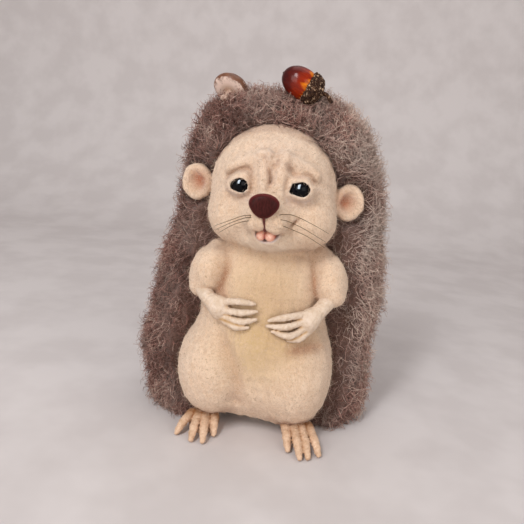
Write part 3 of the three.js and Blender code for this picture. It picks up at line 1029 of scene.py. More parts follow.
# ---- geometry nodes
class Weave(NodeWork):
    """A Geometry Nodes tree in the making, with named inputs for its sizes."""

    def __init__(self, name: str) -> None:
        """Starts a tree that takes and gives geometry.

        Args:
            name: The tree's name.
        """
        self.tree = bpy.data.node_groups.new(name, "GeometryNodeTree")
        for way in ("INPUT", "OUTPUT"):
            self.tree.interface.new_socket("Geometry", in_out=way, socket_type="NodeSocketGeometry")
        self.source = self.tree.nodes.new("NodeGroupInput")
        self.target = self.tree.nodes.new("NodeGroupOutput")
        self.sizes: dict[str, float | int] = {}

    def size(self, name: str, value: float | int) -> Socket:
        """Adds a named input and the value that it is used with.

        Args:
            name: The input's name.
            value: Its value.

        Returns:
            The input, for use in the tree.
        """
        kind = "NodeSocketInt" if isinstance(value, int) else "NodeSocketFloat"
        socket = self.tree.interface.new_socket(name, in_out="INPUT", socket_type=kind)
        self.sizes[socket.identifier] = value
        return self.source.outputs[name]

    def strewn(self, mask: str, density: Socket, seed: Socket) -> Node:
        """Strews points over the faces taken in, thinned by an attribute of their corners."""
        named = self.out("GeometryNodeInputNamedAttribute", {"Name": mask}, data_type="FLOAT")
        return self.node("GeometryNodeDistributePointsOnFaces", {
            "Mesh": self.source.outputs[0], "Density": self.times(named, density), "Seed": seed})

    def drawn(self, low: float | Vec, high: float | Vec, seed: Socket) -> Socket:
        """Draws a number or a vector for each point.

        Args:
            low: The least.
            high: The most.
            seed: The seed.

        Returns:
            The drawn values.
        """
        if isinstance(low, tuple):
            return self.out("FunctionNodeRandomValue", {
                "Min": low, "Max": high, "Seed": seed}, data_type="FLOAT_VECTOR")
        return self.node("FunctionNodeRandomValue", {
            "Min_001": low, "Max_001": high, "Seed": seed}, data_type="FLOAT").outputs[1]

    def tube(self, line: Socket, sides: int, radius: Socket, taper: Socket) -> Socket:
        """Sweeps a ring along curves, with closed ends."""
        ring = self.out("GeometryNodeCurvePrimitiveCircle", {"Resolution": sides, "Radius": radius})
        return self.out("GeometryNodeCurveToMesh", {
            "Curve": line, "Profile Curve": ring, "Scale": taper, "Fill Caps": True})

    def ended(self, geometry: Socket, material: Material) -> "Weave":
        """Makes the instances real and sets their material.

        Args:
            geometry: The instances.
            material: Their material.

        Returns:
            The weave itself.
        """
        real = self.out("GeometryNodeRealizeInstances", {"Geometry": geometry})
        dressed = self.out("GeometryNodeSetMaterial", {"Geometry": real, "Material": material})
        self.tree.links.new(dressed, self.target.inputs[0])
        return self

    def grown_on(self, mesh: Mesh) -> Mesh:
        """Runs the tree on a mesh.

        Args:
            mesh: What the tree takes in, in place.

        Returns:
            A plain mesh of what it gives.
        """
        base = stood(mesh.name, mesh)
        modifier = base.modifiers.new("weave", "NODES")
        modifier.node_group = self.tree
        for identifier, value in self.sizes.items():
            modifier[identifier] = value
        graph = bpy.context.evaluated_depsgraph_get()
        made = bpy.data.meshes.new_from_object(
            base.evaluated_get(graph), preserve_all_data_layers=True, depsgraph=graph)
        base.modifiers.remove(modifier)
        bpy.data.objects.remove(base)
        return made


@dataclass(frozen=True)
class BakeMap:
    """The OFBake map of a piece made of many fibres: a small patch for each, at its root's place."""

    patch: float = 0.003
    pitch: float = 0.004

    def corners(self, unwrap: Points) -> Points:
        """Finds a free patch near each root's place.

        Args:
            unwrap: Each root's place on an unwrap of the skin, between 0 and 1.

        Returns:
            Each patch's lower corner.
        """
        across = int(1 / self.pitch)
        cell = np.clip((unwrap / self.pitch).astype(int), 0, across - 1)
        wanted = cell[:, 1] * across + cell[:, 0]
        order = np.argsort(wanted, kind="stable")
        rank = np.arange(len(order))
        free = np.minimum(np.maximum.accumulate(wanted[order] - rank) + rank, across * across - 1)
        taken = np.empty_like(free)
        taken[order] = free
        return np.stack([taken % across, taken // across], 1) * self.pitch

    def laid(self, mesh: Mesh, corners: Points, own: Points) -> None:
        """Writes the map.

        Args:
            mesh: The piece's mesh.
            corners: For each face corner, its patch's lower corner.
            own: For each face corner, its place within the patch, between 0 and 1.
        """
        layer = mesh.uv_layers.new(name="OFBake")
        layer.uv.foreach_set("vector", (corners + own * self.patch).astype(np.float32).ravel())


def round_body(points: Points, height: float) -> Points:
    """An unwrap of an upright body: the angle round it and the height up it, between 0 and 1."""
    angle = np.arctan2(points[:, 0], 10 - points[:, 1]) / (2 * math.pi) + 0.5
    return np.stack([angle, points[:, 2] / height], 1)


# ---- the felt head
@dataclass(frozen=True)
class EyeSocket:
    """An eye and the lids round it: the opening shows the front of a glass ball."""

    side: Side
    opening: Opening
    ball_x: float = 15.6
    ball_y: float = -41.3
    ball_z: float = 149.3
    ball_radius: float = 5.9
    lid_radii: Vec = (8.6, 7.6, 7.8)
    lid_lift: float = 0.3

    @property
    def ball(self) -> Lump:
        """The glass ball."""
        return Lump((self.ball_x * self.side.value, self.ball_y, self.ball_z), (self.ball_radius,) * 3)

    @property
    def lids(self) -> Form:
        """The puffy felt over and under the ball."""
        return Lump((self.ball_x * self.side.value, self.ball_y, self.ball_z + self.lid_lift), self.lid_radii).form

    @property
    def cut(self) -> Form:
        """What is taken out of the felt for the ball and its opening."""
        return blended(0.3, self.opening.hole(self.ball_y), self.ball.form.grown(0.05))


@dataclass(frozen=True)
class FeltHead:
    """The felt head, without its ears: skull, cheeks, muzzle, brows, lids, lips and creases."""

    skull: Lump = Lump((0.4, -10, 146.6), (36.3, 36, 36.0))
    cheeks: Sequence[Lump] = (Lump((19.5, -21, 130), (19, 24, 17)), Lump((-16, -21, 130), (19, 24, 17)))
    muzzle: Lump = Lump((0, -44, 134), (13, 14, 11))
    chin: Lump = Lump((1, -36, 120), (15, 12, 7))
    pads: Sequence[Lump] = (Lump((-4.9, -50.6, 130.6), (5.2, 4.6, 4.4)), Lump((6.0, -50.4, 130.4), (5.8, 4.8, 4.6)))
    sockets: Sequence[Lump] = (Lump((16, -50, 149), (8, 6, 6)), Lump((-16, -50, 149), (8, 6, 6)))
    eyes: Sequence[EyeSocket] = (
        EyeSocket(Side.LEFT, Opening((
            (10.3, 147.4), (11.1, 150.4), (11.8, 152), (13.3, 152.9), (16, 153.4), (18.2, 153.2), (20.4, 152.1),
            (21.6, 150.2), (21.4, 148.2), (20.2, 146.8), (18.3, 145.9), (15.8, 145.8), (13.6, 146.3), (12, 146.7))),
            ball_x=16.0),
        EyeSocket(Side.RIGHT, Opening((
            (-20.8, 148.4), (-20.3, 150.4), (-18.9, 151.8), (-16.8, 152.6), (-13.9, 152.8), (-12.3, 151.5),
            (-11.3, 149.5), (-11.5, 147.4), (-13.2, 146.1), (-15.8, 145.5), (-18.4, 145.7), (-20.1, 146.6)))))
    mouth: Opening = Opening((
        (-5.3, 127.1), (-3.7, 126.9), (-0.6, 127.6), (2.7, 126.4), (6.4, 125.8), (8, 126), (6.6, 124),
        (5.1, 122.2), (3.1, 121.2), (-0.6, 121), (-2.8, 121.9), (-4.5, 124), (-5.2, 126.2)))
    mouth_back: float = -43.0
    creases: Sequence[Crease] = (
        Crease([(-3.8, 164.3), (-2.5, 161.4), (-1.2, 158.5), (-0.2, 156), (0.1, 152.4), (-0.4, 148.8)],
               1.4, 1.0, 0.28),
        Crease([(-0.8, 157), (0.2, 154.5), (0.2, 151.6)], 0.9, 0.7, 0.38),
        Crease([(4, 163.5), (2.1, 161.8), (1, 160.2)], 0.7, 0.4, 0.24),
        Crease([(3.6, 161.9), (2, 160), (0.4, 158.1)], 0.7, 0.4, 0.24),
        Crease([(-6.6, 162), (-5.4, 159)], 0.8, 0.3, 0.16),
        Crease([(6.1, 162.6), (3.9, 157.8), (3.3, 152.6)], 1.2, -0.55),
        Crease([(-6.5, 160), (-4.3, 155), (-4, 150)], 1.5, -0.45),
        Crease([(-23.4, 152), (-21.9, 153.9), (-18.4, 156.1), (-13.7, 158), (-11.6, 157.5), (-10.4, 155.7),
                (-9.8, 152.1), (-9.8, 147.9)], 1.35, 1.2, 0.38),
        Crease([(-23.4, 152.6), (-20.4, 155.4), (-16, 157.4), (-12.4, 158)], 1.9, 0.3, 0.16),
        Crease([(8.6, 161.5), (9.9, 159.1), (11.6, 156.9), (15.4, 156.2), (20.1, 156.6), (23, 152.9)],
               1.4, 1.2, 0.32),
        Crease([(8.2, 158.5), (8.6, 153), (8.9, 149)], 1.3, 0.6, 0.16),
        Crease([(-21.5, 144), (-16, 142.4), (-11, 143.2)], 1.5, 0.35),
        Crease([(11.5, 142.8), (17, 142), (22, 144)], 1.5, 0.35),
        Crease([(13.3, 130.1), (14.9, 131.9), (16.8, 133.6)], 0.8, 1, 0.55),
        Crease([(14.3, 131.2), (15.4, 132.4)], 0.8, 0.3, 0.5),
        Crease([(8.6, 126.4), (10.8, 127.8), (13.3, 130.1)], 1.7, 0.45, 0.08),
        Crease([(-1, 136.5), (-0.8, 134.1), (-0.1, 128.6), (0, 127)], 1, 0.7, 0.25),
        Crease([(-5.9, 124), (-4.3, 120.8), (-0.6, 119.5), (4.4, 120.1), (7.5, 123)], 1.4, -0.5),
        Crease([(-6.5, 117.6), (0.9, 116), (8.5, 117.6)], 1.8, 0.35))
    front: float = -26.0

    def form(self) -> Form:
        """The head as a form.

        Returns:
            The head, with its eyes' and mouth's openings.
        """
        ridges = [Roll(np.array([(1.5 + 4.5 * s, -47, 147), (2 + 5 * s, -42.5, 165.0)]), (3.4, 3.0)).form
                  for s in (-1, 1)]
        brows = [Roll(np.array([(1.5 + 6 * s, -41.5, 165), (1 + 23 * s, -35.5, 157.0)]), (3.2, 2.6)).form
                 for s in (-1, 1)]
        face = blended(7, self.skull.form, *(lump.form for lump in self.cheeks), self.muzzle.form, self.chin.form)
        face = blended(4, face, *ridges, *brows).hollowed(5, *(lump.form for lump in self.sockets))
        face = blended(3, face, *(lump.form for lump in self.pads))
        face = blended(1.8, face, *(eye.lids for eye in self.eyes))

        def creased(p: Points) -> Points:
            """Distance to the face with its creases pressed in."""
            pressed = sum(crease.depth * crease.line(p) for crease in self.creases)
            return face.at(p) + pressed * smooth_step(-p[:, 1], -self.front, 4 - self.front)
        return Form(creased).hollowed(0.8, *(eye.cut for eye in self.eyes)).hollowed(
            1.0, self.mouth.hole(self.mouth_back))

    def tints(self, p: Points) -> dict[Dye, Points]:
        """How strongly each tint shows on the face at each point, with painted shade along the creases.

        Args:
            p: Points in the doll's frame.

        Returns:
            The strengths by tint.
        """
        facing = smooth_step(-p[:, 1], 26, 32) * smooth_step(p[:, 2], 110, 114)
        # Brown pastel and painted shade along the creases.
        lines = sum(crease.dye * crease.line(p) for crease in self.creases if crease.dye)
        lip = self.mouth.gap(p)
        rims = sum(fading(eye.opening.gap(p) - 0.2, 0.7) for eye in self.eyes)
        inside = smooth_step(-lip, 0.2, 1.2) * smooth_step(p[:, 1], -51, -47.5)
        below = smooth_step(-p[:, 2], -125.5, -123.5)
        return {
            Dye.WARM: facing * lines,
            Dye.FLUSH: facing * (inside + 0.3 * fading(lip - 0.3, 1.0) * (1 - below)),
            Dye.COOL: facing * 0.7 * fading(lip - 0.4, 0.9) * below,
            Dye.PALE: facing * 0.18 * rims,
            Dye.OCHRE: np.zeros(len(p))}


# ---- the felt skin
@dataclass(frozen=True)
class Ear:
    """A shallow felt cup that faces forwards and a little outwards."""

    side: Side
    height: float
    x: float = 45.0
    y: float = -10.0
    half_width: float = 9.2
    half_height: float = 10.6
    splay: float = 0.2

    @property
    def middle(self) -> Vec:
        """The ear's middle."""
        return (self.x * self.side.value, self.y, self.height)

    @property
    def form(self) -> Form:
        """The ear as a form."""
        turn = self.splay * self.side.value
        turned = np.array([(math.cos(turn), -math.sin(turn), 0), (math.sin(turn), math.cos(turn), 0), (0, 0, 1)])
        w, h = self.half_width, self.half_height
        shell = Lump((0, 0.9, 0), (w, 3.8, h)).form
        rim = Roll(np.array([((w - 2.1) * math.cos(a), -0.4, (h - 2.1) * math.sin(a))
                             for a in np.linspace(0, 2 * math.pi, 25)]), [1.9] * 25).form
        bowl = Lump((-0.6 * self.side.value, -4.6, -0.4), (w * 0.68, 5.4, h * 0.68)).form
        cup = blended(1.5, shell.hollowed(1.5, bowl), rim)
        return Form(lambda p: cup.at((p - self.middle) @ turned))


@dataclass(frozen=True)
class ArmPlan:
    """The joints of one arm, from the shoulder down to the palm, and the swell of its inner side."""

    side: Side
    shoulder: Vec
    elbow: Vec
    wrist: Vec
    palm: Vec
    swell: Lump
    thickness: float = 11.0

    @property
    def upper(self) -> Form:
        """The plump felt upper arm."""
        middle = (np.array(self.shoulder) + np.array(self.elbow)) / 2 + (0, 2, 0)
        path = curve_through([self.shoulder, tuple(middle), self.elbow], 6)
        share = np.linspace(0, 1, len(path))
        roll = Roll(path, self.thickness * np.sin(math.pi * (0.14 + 0.7 * share)) ** 0.6 - 0.4).form
        return blended(4, roll, self.swell.form)


LEFT_ARM = ArmPlan(Side.LEFT, (28, -13, 111), (41, -30, 89.5), (32.5, -38.5, 81), (27.8, -41, 76.4),
                   Lump((38, -24.5, 96), (9.6, 13.2, 14)))
RIGHT_ARM = ArmPlan(Side.RIGHT, (-26, -13, 108.5), (-36, -29, 88), (-29, -40, 83.5), (-22.5, -43, 79.6),
                    Lump((-29.8, -26, 97), (12.4, 15.2, 14)))


@dataclass
class FeltSkin:
    """One skin of cream felt over the head, ears, trunk, upper arms and thighs."""

    bench: Bench
    head: FeltHead = FeltHead()
    ears: Sequence[Ear] = (Ear(Side.LEFT, 140.8), Ear(Side.RIGHT, 145.4))
    arms: Sequence[ArmPlan] = (LEFT_ARM, RIGHT_ARM)
    chest: Lump = Lump((0, -12, 88), (39, 32, 31))
    belly: Lump = Lump((0, -10, 57), (39.5, 39, 38))
    hips: Lump = Lump((0, -8, 33), (38, 38, 27.5))
    thighs: Sequence[Lump] = (
        Lump((24.2, -23, 37.5), (21.2, 28.5, 30)), Lump((-25, -23, 38), (22.5, 28.5, 30.5)))
    valleys: Sequence[Sequence[Vec]] = (
        ((-20, -44, 63), (-16.5, -46, 56), (-10.6, -47, 46), (-8.6, -46.5, 36), (-8.8, -43, 25)),
        ((24, -44, 61), (34, -38, 62)))
    seat: Roll = Roll(np.array([(-14, -24, 20.3), (0, -24, 19.6), (17, -24, 16.2), (24, -22, 16)]), [10.0] * 4)
    valley_depth: float = 1.5
    lumps: Ripple = Ripple(3, 7.5)
    tufts: Ripple = Ripple(4, 2.6)
    stains: Sequence[Stain] = (
        # Pink and brown pastel in the ear bowls, the brown deepened as painted shade.
        Stain(Dye.FLUSH, [(-43.3, -10.5, 147.4)], 4.8, 0.92), Stain(Dye.WARM, [(-42.6, -10, 144.6)], 4.8, 0.6),
        Stain(Dye.FLUSH, [(42.4, -10.5, 141.6)], 4.6, 0.95), Stain(Dye.WARM, [(41.8, -10, 139.8)], 4.2, 0.55),
        # Painted shadow of the head on the left of the neck.
        Stain(Dye.WARM, [(20, -32, 112.5), (35, -20, 113)], 6, 0.3),
        # Painted shade in the armpits, and a red-brown stain by the right elbow.
        Stain(Dye.WARM, [(-25, -41, 101), (-24, -42, 88)], 5, 0.26),
        Stain(Dye.FLUSH, [(-22, -40.5, 87)], 3, 0.45),
        Stain(Dye.WARM, [(27.5, -36, 104), (30, -38, 88)], 3.4, 0.34),
        # Painted shadow along the top of the left thigh.
        Stain(Dye.WARM, [(19, -45, 58.5), (27, -44, 60), (39, -34, 60.5)], 3.4, 0.46),
        # Painted light on the chin and neck, against the shade under the muzzle.
        Stain(Dye.PALE, [(-8, -45, 117), (10, -45, 117)], 9, 0.3),
        # Painted shade under the belly, by the floor.
        Stain(Dye.WARM, [(-14, -42, 14), (14, -42, 12)], 5, 0.2),
        Stain(Dye.OCHRE, [(2, -44, 94), (4, -48, 70)], 28, 0.62),
        Stain(Dye.OCHRE, [(-2, -48, 64), (0, -47, 52)], 14, 0.4),
        Stain(Dye.WARM, [(4, -44, 100), (10, -48, 80), (20, -46, 66)], 15, 0.17),
        Stain(Dye.OCHRE, [(-8, -44, 117), (10, -44, 117)], 8, 0.1),
        # Painted shade above the left thigh, in ochre.
        Stain(Dye.OCHRE, [(18, -46, 62), (34, -38, 66)], 7, 0.25),
        # Painted shade on the forehead.
        Stain(Dye.COOL, [(1, -44, 170)], 17, 0.13),
        # Painted shade under the thighs, above the toes.
        Stain(Dye.WARM, [(13, -37, 12), (38, -35, 13)], 4.6, 0.42),
        Stain(Dye.WARM, [(-38, -36, 13), (-14, -37, 13)], 4.6, 0.46),
        Stain(Dye.COOL, [(-22, -44, 144), (-16, -46, 142.5), (-10, -47, 143.5)], 2.6, 0.34),
        Stain(Dye.COOL, [(11, -47, 143), (17, -45, 142), (23, -42, 144)], 2.6, 0.34),
        Stain(Dye.COOL, [(-25.5, -38, 150)], 3, 0.2), Stain(Dye.COOL, [(26, -38, 149)], 3, 0.18))

    def limbs(self) -> list[Form]:
        """The ears and upper arms."""
        return [part.form for part in self.ears] + [arm.upper for arm in self.arms]

    def trunk(self) -> Form:
        """The chest, belly and hips run together."""
        return blended(10, self.chest.form, self.belly.form, self.hips.form, self.seat.form)

    def form(self) -> Form:
        """The whole felt figure.

        Returns:
            The figure.
        """
        body = blended(6, self.head.form(), self.trunk())
        left, right = (thigh.form for thigh in self.thighs)
        body = blended(4, blended(12, body, left), right)
        whole = blended(1.8, body, *self.limbs())

        def folded(p: Points) -> Points:
            """Distance to the figure with its valleys pressed in."""
            return whole.at(p) + sum(Stain(Dye.WARM, valley, 3.8, self.valley_depth).at(p) for valley in self.valleys)
        return Form(folded).rippled((0.17, self.lumps), (0.08, self.tufts))

    def tinted(self, p: Points, outline: Form, feet: Form) -> dict[str, Points]:
        """How strongly each tint shows on the skin.

        Args:
            p: The skin's corners.
            outline: The coat's outline, along whose edge the felt is browned.
            feet: The feet, round whose roots shade is painted on the felt.

        Returns:
            The amounts by attribute name.
        """
        amounts = {dye: values.copy() for dye, values in self.head.tints(p).items()}
        for stain in self.stains:
            amounts[stain.dye] += stain.at(p)
        trunk = self.trunk().at(p)
        # Painted shade where each upper arm meets the chest.
        low = smooth_step(-p[:, 2], -112, -98)
        for arm in self.arms:
            amounts[Dye.WARM] += 0.8 * low * fading(np.maximum(trunk, arm.upper.at(p)), 2.8)
        # Painted shade down the valleys between the thighs.
        for valley in self.valleys:
            amounts[Dye.WARM] += Stain(Dye.WARM, valley, 4.2, 0.3).at(p)
        # Painted shade round the roots of the feet, and browner along the coat's edge.
        amounts[Dye.WARM] += 0.8 * fading(feet.at(p), 2.9)
        amounts[Dye.WARM] += 0.42 * fading(np.maximum(outline.at(p), 0), 2.2)
        return {dye.value: np.clip(values, 0, 1) for dye, values in amounts.items()}

    def build(self, finish: Material, outline: Form, feet: Form) -> Object:
        """Makes the skin, fine where it is seen and coarse under the coat.

        Args:
            finish: The felt.
            outline: The coat's outline.
            feet: The feet.

        Returns:
            The skin's object.
        """
        lattice = Lattice(
            Lattice.runs((-58, 1.1), (-26, 0.6), (26, 1.1), (58, 1)),
            Lattice.runs((-68, 0.84), (-4, 3.4), (34, 1)),
            Lattice.runs((1.5, 1.2), (112, 0.6), (168, 1.3), (188, 1)))
        corners, faces = lattice.net(self.form())
        tints = self.tinted(corners, outline, feet)
        sides = [side.word for side in Side]
        nodes = ["head", "trunk"] + [f"{part}_{side}" for part in ("ear", "upper_arm", "thigh") for side in sides]
        return Piece("felt_skin", self.bench, corners, faces, tints).placed(finish, "felt", *nodes)


@dataclass
class StrayFibres:
    """Short stray fibres that stand off the felt, curved and nearly flat."""

    bench: Bench
    thickness: float = 0.06
    length: float = 3.2
    density: float = 0.17
    fibre_corners: int = 15
    seed: int = 5
    light: Colour = (0.88, 0.74, 0.6)
    dark: Colour = (0.5, 0.33, 0.22)

    def build(self, skin: Object, outline: Form) -> None:
        """Scatters the fibres over the felt that shows.

        Args:
            skin: The felt skin.
            outline: The coat's outline, within which no fibre is needed.
        """
        place = self.bench.corners(skin.data)
        shown = smooth_step(outline.at(place), -0.5, 1.0) * smooth_step(place[:, 2], 6, 10)
        base = skin.data.copy()
        marked(base, "shown", shown)
        finish = PlainFinish("felt_fibre", self.light, self.dark, 0.95, 1.6).material()
        w = Weave("stray_fibres")
        thickness, seed = w.size("Thickness", self.thickness * MM), w.size("Seed", self.seed)
        density = w.size("Fibres per square metre", self.density / MM ** 2)
        points = w.strewn("shown", density, seed)
        length = self.length * MM
        line = w.out("GeometryNodeCurveQuadraticBezier", {
            "Resolution": 4, "Start": (0, 0, -0.0002), "Middle": (length * 0.1, 0, length * 0.45),
            "End": (length * 0.75, length * 0.25, length * 0.42)})
        taper = w.times(1.05, w.out("GeometryNodeSplineParameter"), "SUBTRACT")
        turn = w.out("FunctionNodeRotateRotation", {
            "Rotation": points.outputs["Rotation"], "Rotate By": w.drawn((-0.5, -0.5, 0), (0.5, 0.5, 6.283), seed)},
            rotation_space="LOCAL")
        set_in = w.out("GeometryNodeInstanceOnPoints", {
            "Points": points.outputs[0], "Instance": w.tube(line, 3, thickness, taper),
            "Rotation": turn, "Scale": w.drawn(0.55, 1.3, seed)})
        mesh = w.ended(set_in, finish).grown_on(base)
        self.mapped(mesh)
        declared("stray_fibres", mesh, finish, "felt")

    def mapped(self, mesh: Mesh) -> None:
        """Lays the OFBake map: each fibre has the same number of corners, its root first.

        Args:
            mesh: The fibres' mesh.
        """
        each = self.fibre_corners
        roots = self.bench.corners(mesh)[::each]
        patches = BakeMap().corners(np.clip(round_body(roots, 190.0), 0, 0.999))
        ends = np.empty(len(mesh.loops), np.int32)
        mesh.loops.foreach_get("vertex_index", ends)
        own = np.stack([(ends % 3) / 2, (ends % each) // 3 / (each // 3 - 1)], 1)
        BakeMap().laid(mesh, patches[ends // each], own)


# ---- the face's separate pieces
@dataclass
class Eyes:
    """Two glass eyes with a slightly domed front."""

    bench: Bench
    sockets: Sequence[EyeSocket] = FeltHead().eyes
    dome: float = 0.35

    def build(self, finish: Material) -> None:
        """Turns both eyes.

        Args:
            finish: The glass.
        """
        for socket in self.sockets:
            radius = socket.ball_radius
            profile = arc(radius, radius, -math.pi / 2, math.pi / 2, 22)
            profile = [(r, h + self.dome * max(h / radius, 0) ** 6) for r, h in profile]
            look = (0.1 * socket.side.value, -1.0, 0.02)
            corners, faces, own = Lathe(profile, socket.ball.centre, look, 40).mesh()
            Piece(f"eye_ball_{socket.side.word}", self.bench, corners, faces, {"own_place": own / radius}).placed(
                finish, "eye_glass", f"eye_{socket.side.word}")


@dataclass
class Nose:
    """A rounded-triangle nose with a nearly flat front and a soft rim."""

    bench: Bench
    x: float = -1.3
    y: float = -57.5
    z: float = 141.2
    upper: Lump = Lump((-1.3, -57.5, 142.0), (7.9, 5.2, 5.0))
    lower: Lump = Lump((-1.3, -57.5, 139.3), (4.8, 4.6, 4.8))
    front: float = -61.3
    front_slope: float = 0.06
    rim_softness: float = 2.0
    cell: float = 0.42

    def form(self) -> Form:
        """The nose as a form."""
        before = Form(lambda p: p[:, 1] - self.front + self.front_slope * np.linalg.norm(
            p[:, [0, 2]] - (self.x, self.z), axis=1))
        return blended(4.5, self.upper.form, self.lower.form).hollowed(self.rim_softness, before)

    def build(self, finish: Material) -> None:
        """Makes the nose.

        Args:
            finish: The clay.
        """
        form, middle, reach = self.form(), np.array((self.x, self.y, self.z)), np.array((9, 6, 8))
        corners, faces = Lattice.around(middle - reach, middle + reach, self.cell).net(form)
        # Redder where the sides turn away from the front: the nose's own redder rim, and a painted rim highlight.
        side = 1 - np.abs(form.slope(corners)[:, 1])
        rim = smooth_step(side, 0.18, 0.75) * 0.8
        Piece("nose_button", self.bench, corners, faces, {"rim": rim}).placed(finish, "nose_clay", "nose")


@dataclass
class Tongue:
    """Two soft lobes side by side in the open mouth, with a crease between them."""

    bench: Bench
    lobes: Sequence[Lump] = (Lump((-2.3, -45.8, 124.3), (3.0, 5.9, 3.7)), Lump((2.7, -45.8, 124.1), (3.4, 5.9, 3.6)))
    crease_x: float = -0.1
    cell: float = 0.36

    def build(self, finish: Material) -> None:
        """Makes the tongue.

        Args:
            finish: The clay.
        """
        form = blended(0.9, *(lobe.form for lobe in self.lobes))
        corners, faces = Lattice.around((-5, -51, 120), (7, -38, 128), self.cell).net(form)
        # A red line along the crease between the lobes, and painted shade in darker red at the back and at the
        # mouth's corner on the doll's left.
        line = fading(corners[:, 0] - self.crease_x, 0.55)
        deep = smooth_step(corners[:, 1], -48.4, -45.8)
        corner = smooth_step(corners[:, 0], 4.4, 5.8)
        rubbed = np.clip(line + deep + 0.9 * corner, 0, 1)
        Piece("tongue_lobes", self.bench, corners, faces, {"rubbed": rubbed}).placed(finish, "tongue_clay", "tongue")


@dataclass
class Threads:
    """The dark thread from nose to mouth, and the fine whiskers, as tapering fibres along smooth lines."""

    bench: Bench
    philtrum: Sequence[Vec] = ((-0.9, -58.4, 136.4), (-0.7, -58, 133.4), (-0.2, -56.4, 130.6), (0, -54.6, 127.6))
    whiskers: Sequence[Sequence[Vec]] = (
        ((6.4, -55, 136.4), (9, -57.4, 137.4), (14.5, -57, 137.2), (24, -52, 133), (33.4, -45, 127.6)),
        ((6.6, -55, 134.4), (12, -57.6, 134), (20, -55, 130.6), (32.4, -45, 122.9)),
        ((7.6, -54, 131.4), (14, -56, 129.8), (22, -52.5, 126.4), (32.2, -45, 119.8)),
        ((-7.4, -55, 135.2), (-12, -57, 134.6), (-19, -53, 131), (-27.4, -45, 126.2)),
        ((-7.2, -55, 134.3), (-12, -57.2, 133.2), (-19, -53, 129.4), (-26.8, -45, 124.2)),
        ((-7.4, -54, 132.2), (-12, -56, 131.4), (-18, -52.5, 128.2), (-24.9, -45, 122.8)))
    whisker_radius: float = 0.21
    thread_radius: float = 0.58

    def strung(self, name: str, lines: Sequence[Sequence[Vec]], radius: float, taper: float,
               finish: Material, slot: str) -> None:
        """Makes tapering fibres along lines, as one piece.

        Args:
            name: The piece's name.
            lines: The corners of each line.
            radius: The radius at a line's start.
            taper: The share of the radius that is lost on the way.
            finish: The material.
            slot: The record's material slot.
        """
        places, edges = [], []
        for line in lines:
            run = curve_through(line, 8)
            edges += [(len(places) + n, len(places) + n + 1) for n in range(len(run) - 1)]
            places += run.tolist()
        base = bpy.data.meshes.new(name)
        base.from_pydata(self.bench.metres(places).tolist(), edges, [])
        w = Weave(name)
        thickness, loss = w.size("Radius", radius * MM), w.size("Taper", taper)
        line = w.out("GeometryNodeMeshToCurve", {"Mesh": w.source.outputs[0]})
        left = w.times(1.0, w.times(w.out("GeometryNodeSplineParameter"), loss), "SUBTRACT")
        smooth = w.out("GeometryNodeSetShadeSmooth", {"Geometry": w.tube(line, 8, thickness, left)})
        declared(name, w.ended(smooth, finish).grown_on(base), finish, slot)

    def build(self) -> None:
        """Makes the thread and the whiskers."""
        thread = PlainFinish("philtrum_thread", (0.16, 0.03, 0.022), (0.05, 0.012, 0.01), 0.6, 0.8).material()
        bristle = PlainFinish("whisker_bristle", (0.15, 0.09, 0.034), (0.07, 0.04, 0.014), 0.6, 2.0).material()
        self.strung("philtrum", [self.philtrum], self.thread_radius, -0.35, thread, "nose_clay")
        self.strung("whiskers", self.whiskers, self.whisker_radius, 0.55, bristle, "nose_clay")


# ---- the clay hands and feet
def between(digits: Sequence[Form], points: Points, width: float) -> Points:
    """How far each point lies in the gap between two digits, from 0 to 1."""
    near = np.sort(np.stack([digit.at(points) for digit in digits], 1), axis=1)
    return fading(np.maximum(near[:, 1], 0), width)


@dataclass
class Hand:
    """A slim clay forearm with a flat palm and four thin pointed fingers, laid on the belly."""

    bench: Bench
    arm: ArmPlan
    digits: Sequence[tuple[Vec, Vec, Vec]]
    finger_radii: Sequence[float] = (2.1, 2.05, 1.9, 1.9, 2.0, 1.85, 1.6, 1.3, 0.9)
    forearm_radii: tuple[float, float] = (4.7, 4.2)
    palm_radii: Vec = (5.2, 3.4, 6.8)
    wrinkles: Ripple = Ripple(21, 2.2)
    pits: Ripple = Ripple(22, 0.9)
    cell: float = 0.5

    def fingers(self) -> list[Form]:
        """The four fingers, from the top one down."""
        return [Roll(curve_through(corners, 4), self.finger_radii).form for corners in self.digits]

    def forms(self) -> list[Form]:
        """The forearm with the palm, and each finger.

        Returns:
            The forms, the forearm's first.
        """
        elbow, wrist = np.array(self.arm.elbow, float), np.array(self.arm.wrist, float)
        path = curve_through([tuple(elbow + 0.28 * (wrist - elbow)), self.arm.wrist, self.arm.palm], 6)
        share = np.clip(np.linspace(0, 2, len(path)), 0, 1)
        first, last = self.forearm_radii
        sleeve = Roll(path, first + (last - first) * share)
        flat = Lump(self.arm.palm, self.palm_radii)
        return [blended(4, sleeve.form, flat.form)] + self.fingers()

    def build(self, finish: Material) -> None:
        """Makes the hand.

        Args:
            finish: The clay.
        """
        parts = self.forms()
        form = blended(1.1, *parts).rippled((0.09, self.wrinkles), (0.035, self.pits))
        ends = np.vstack([*self.digits, self.arm.elbow, self.arm.palm])
        corners, faces = Lattice.around(ends.min(0) - 9, ends.max(0) + 9, self.cell).net(form)
        # Brown in the gaps between the fingers: colour worked in, and painted shade.
        rubbed = 0.95 * between(parts[1:], corners, 0.9)
        side = self.arm.side.word
        Piece(f"clay_hand_{side}", self.bench, corners, faces, {"rubbed": rubbed}).placed(
            finish, "clay", f"hand_{side}")


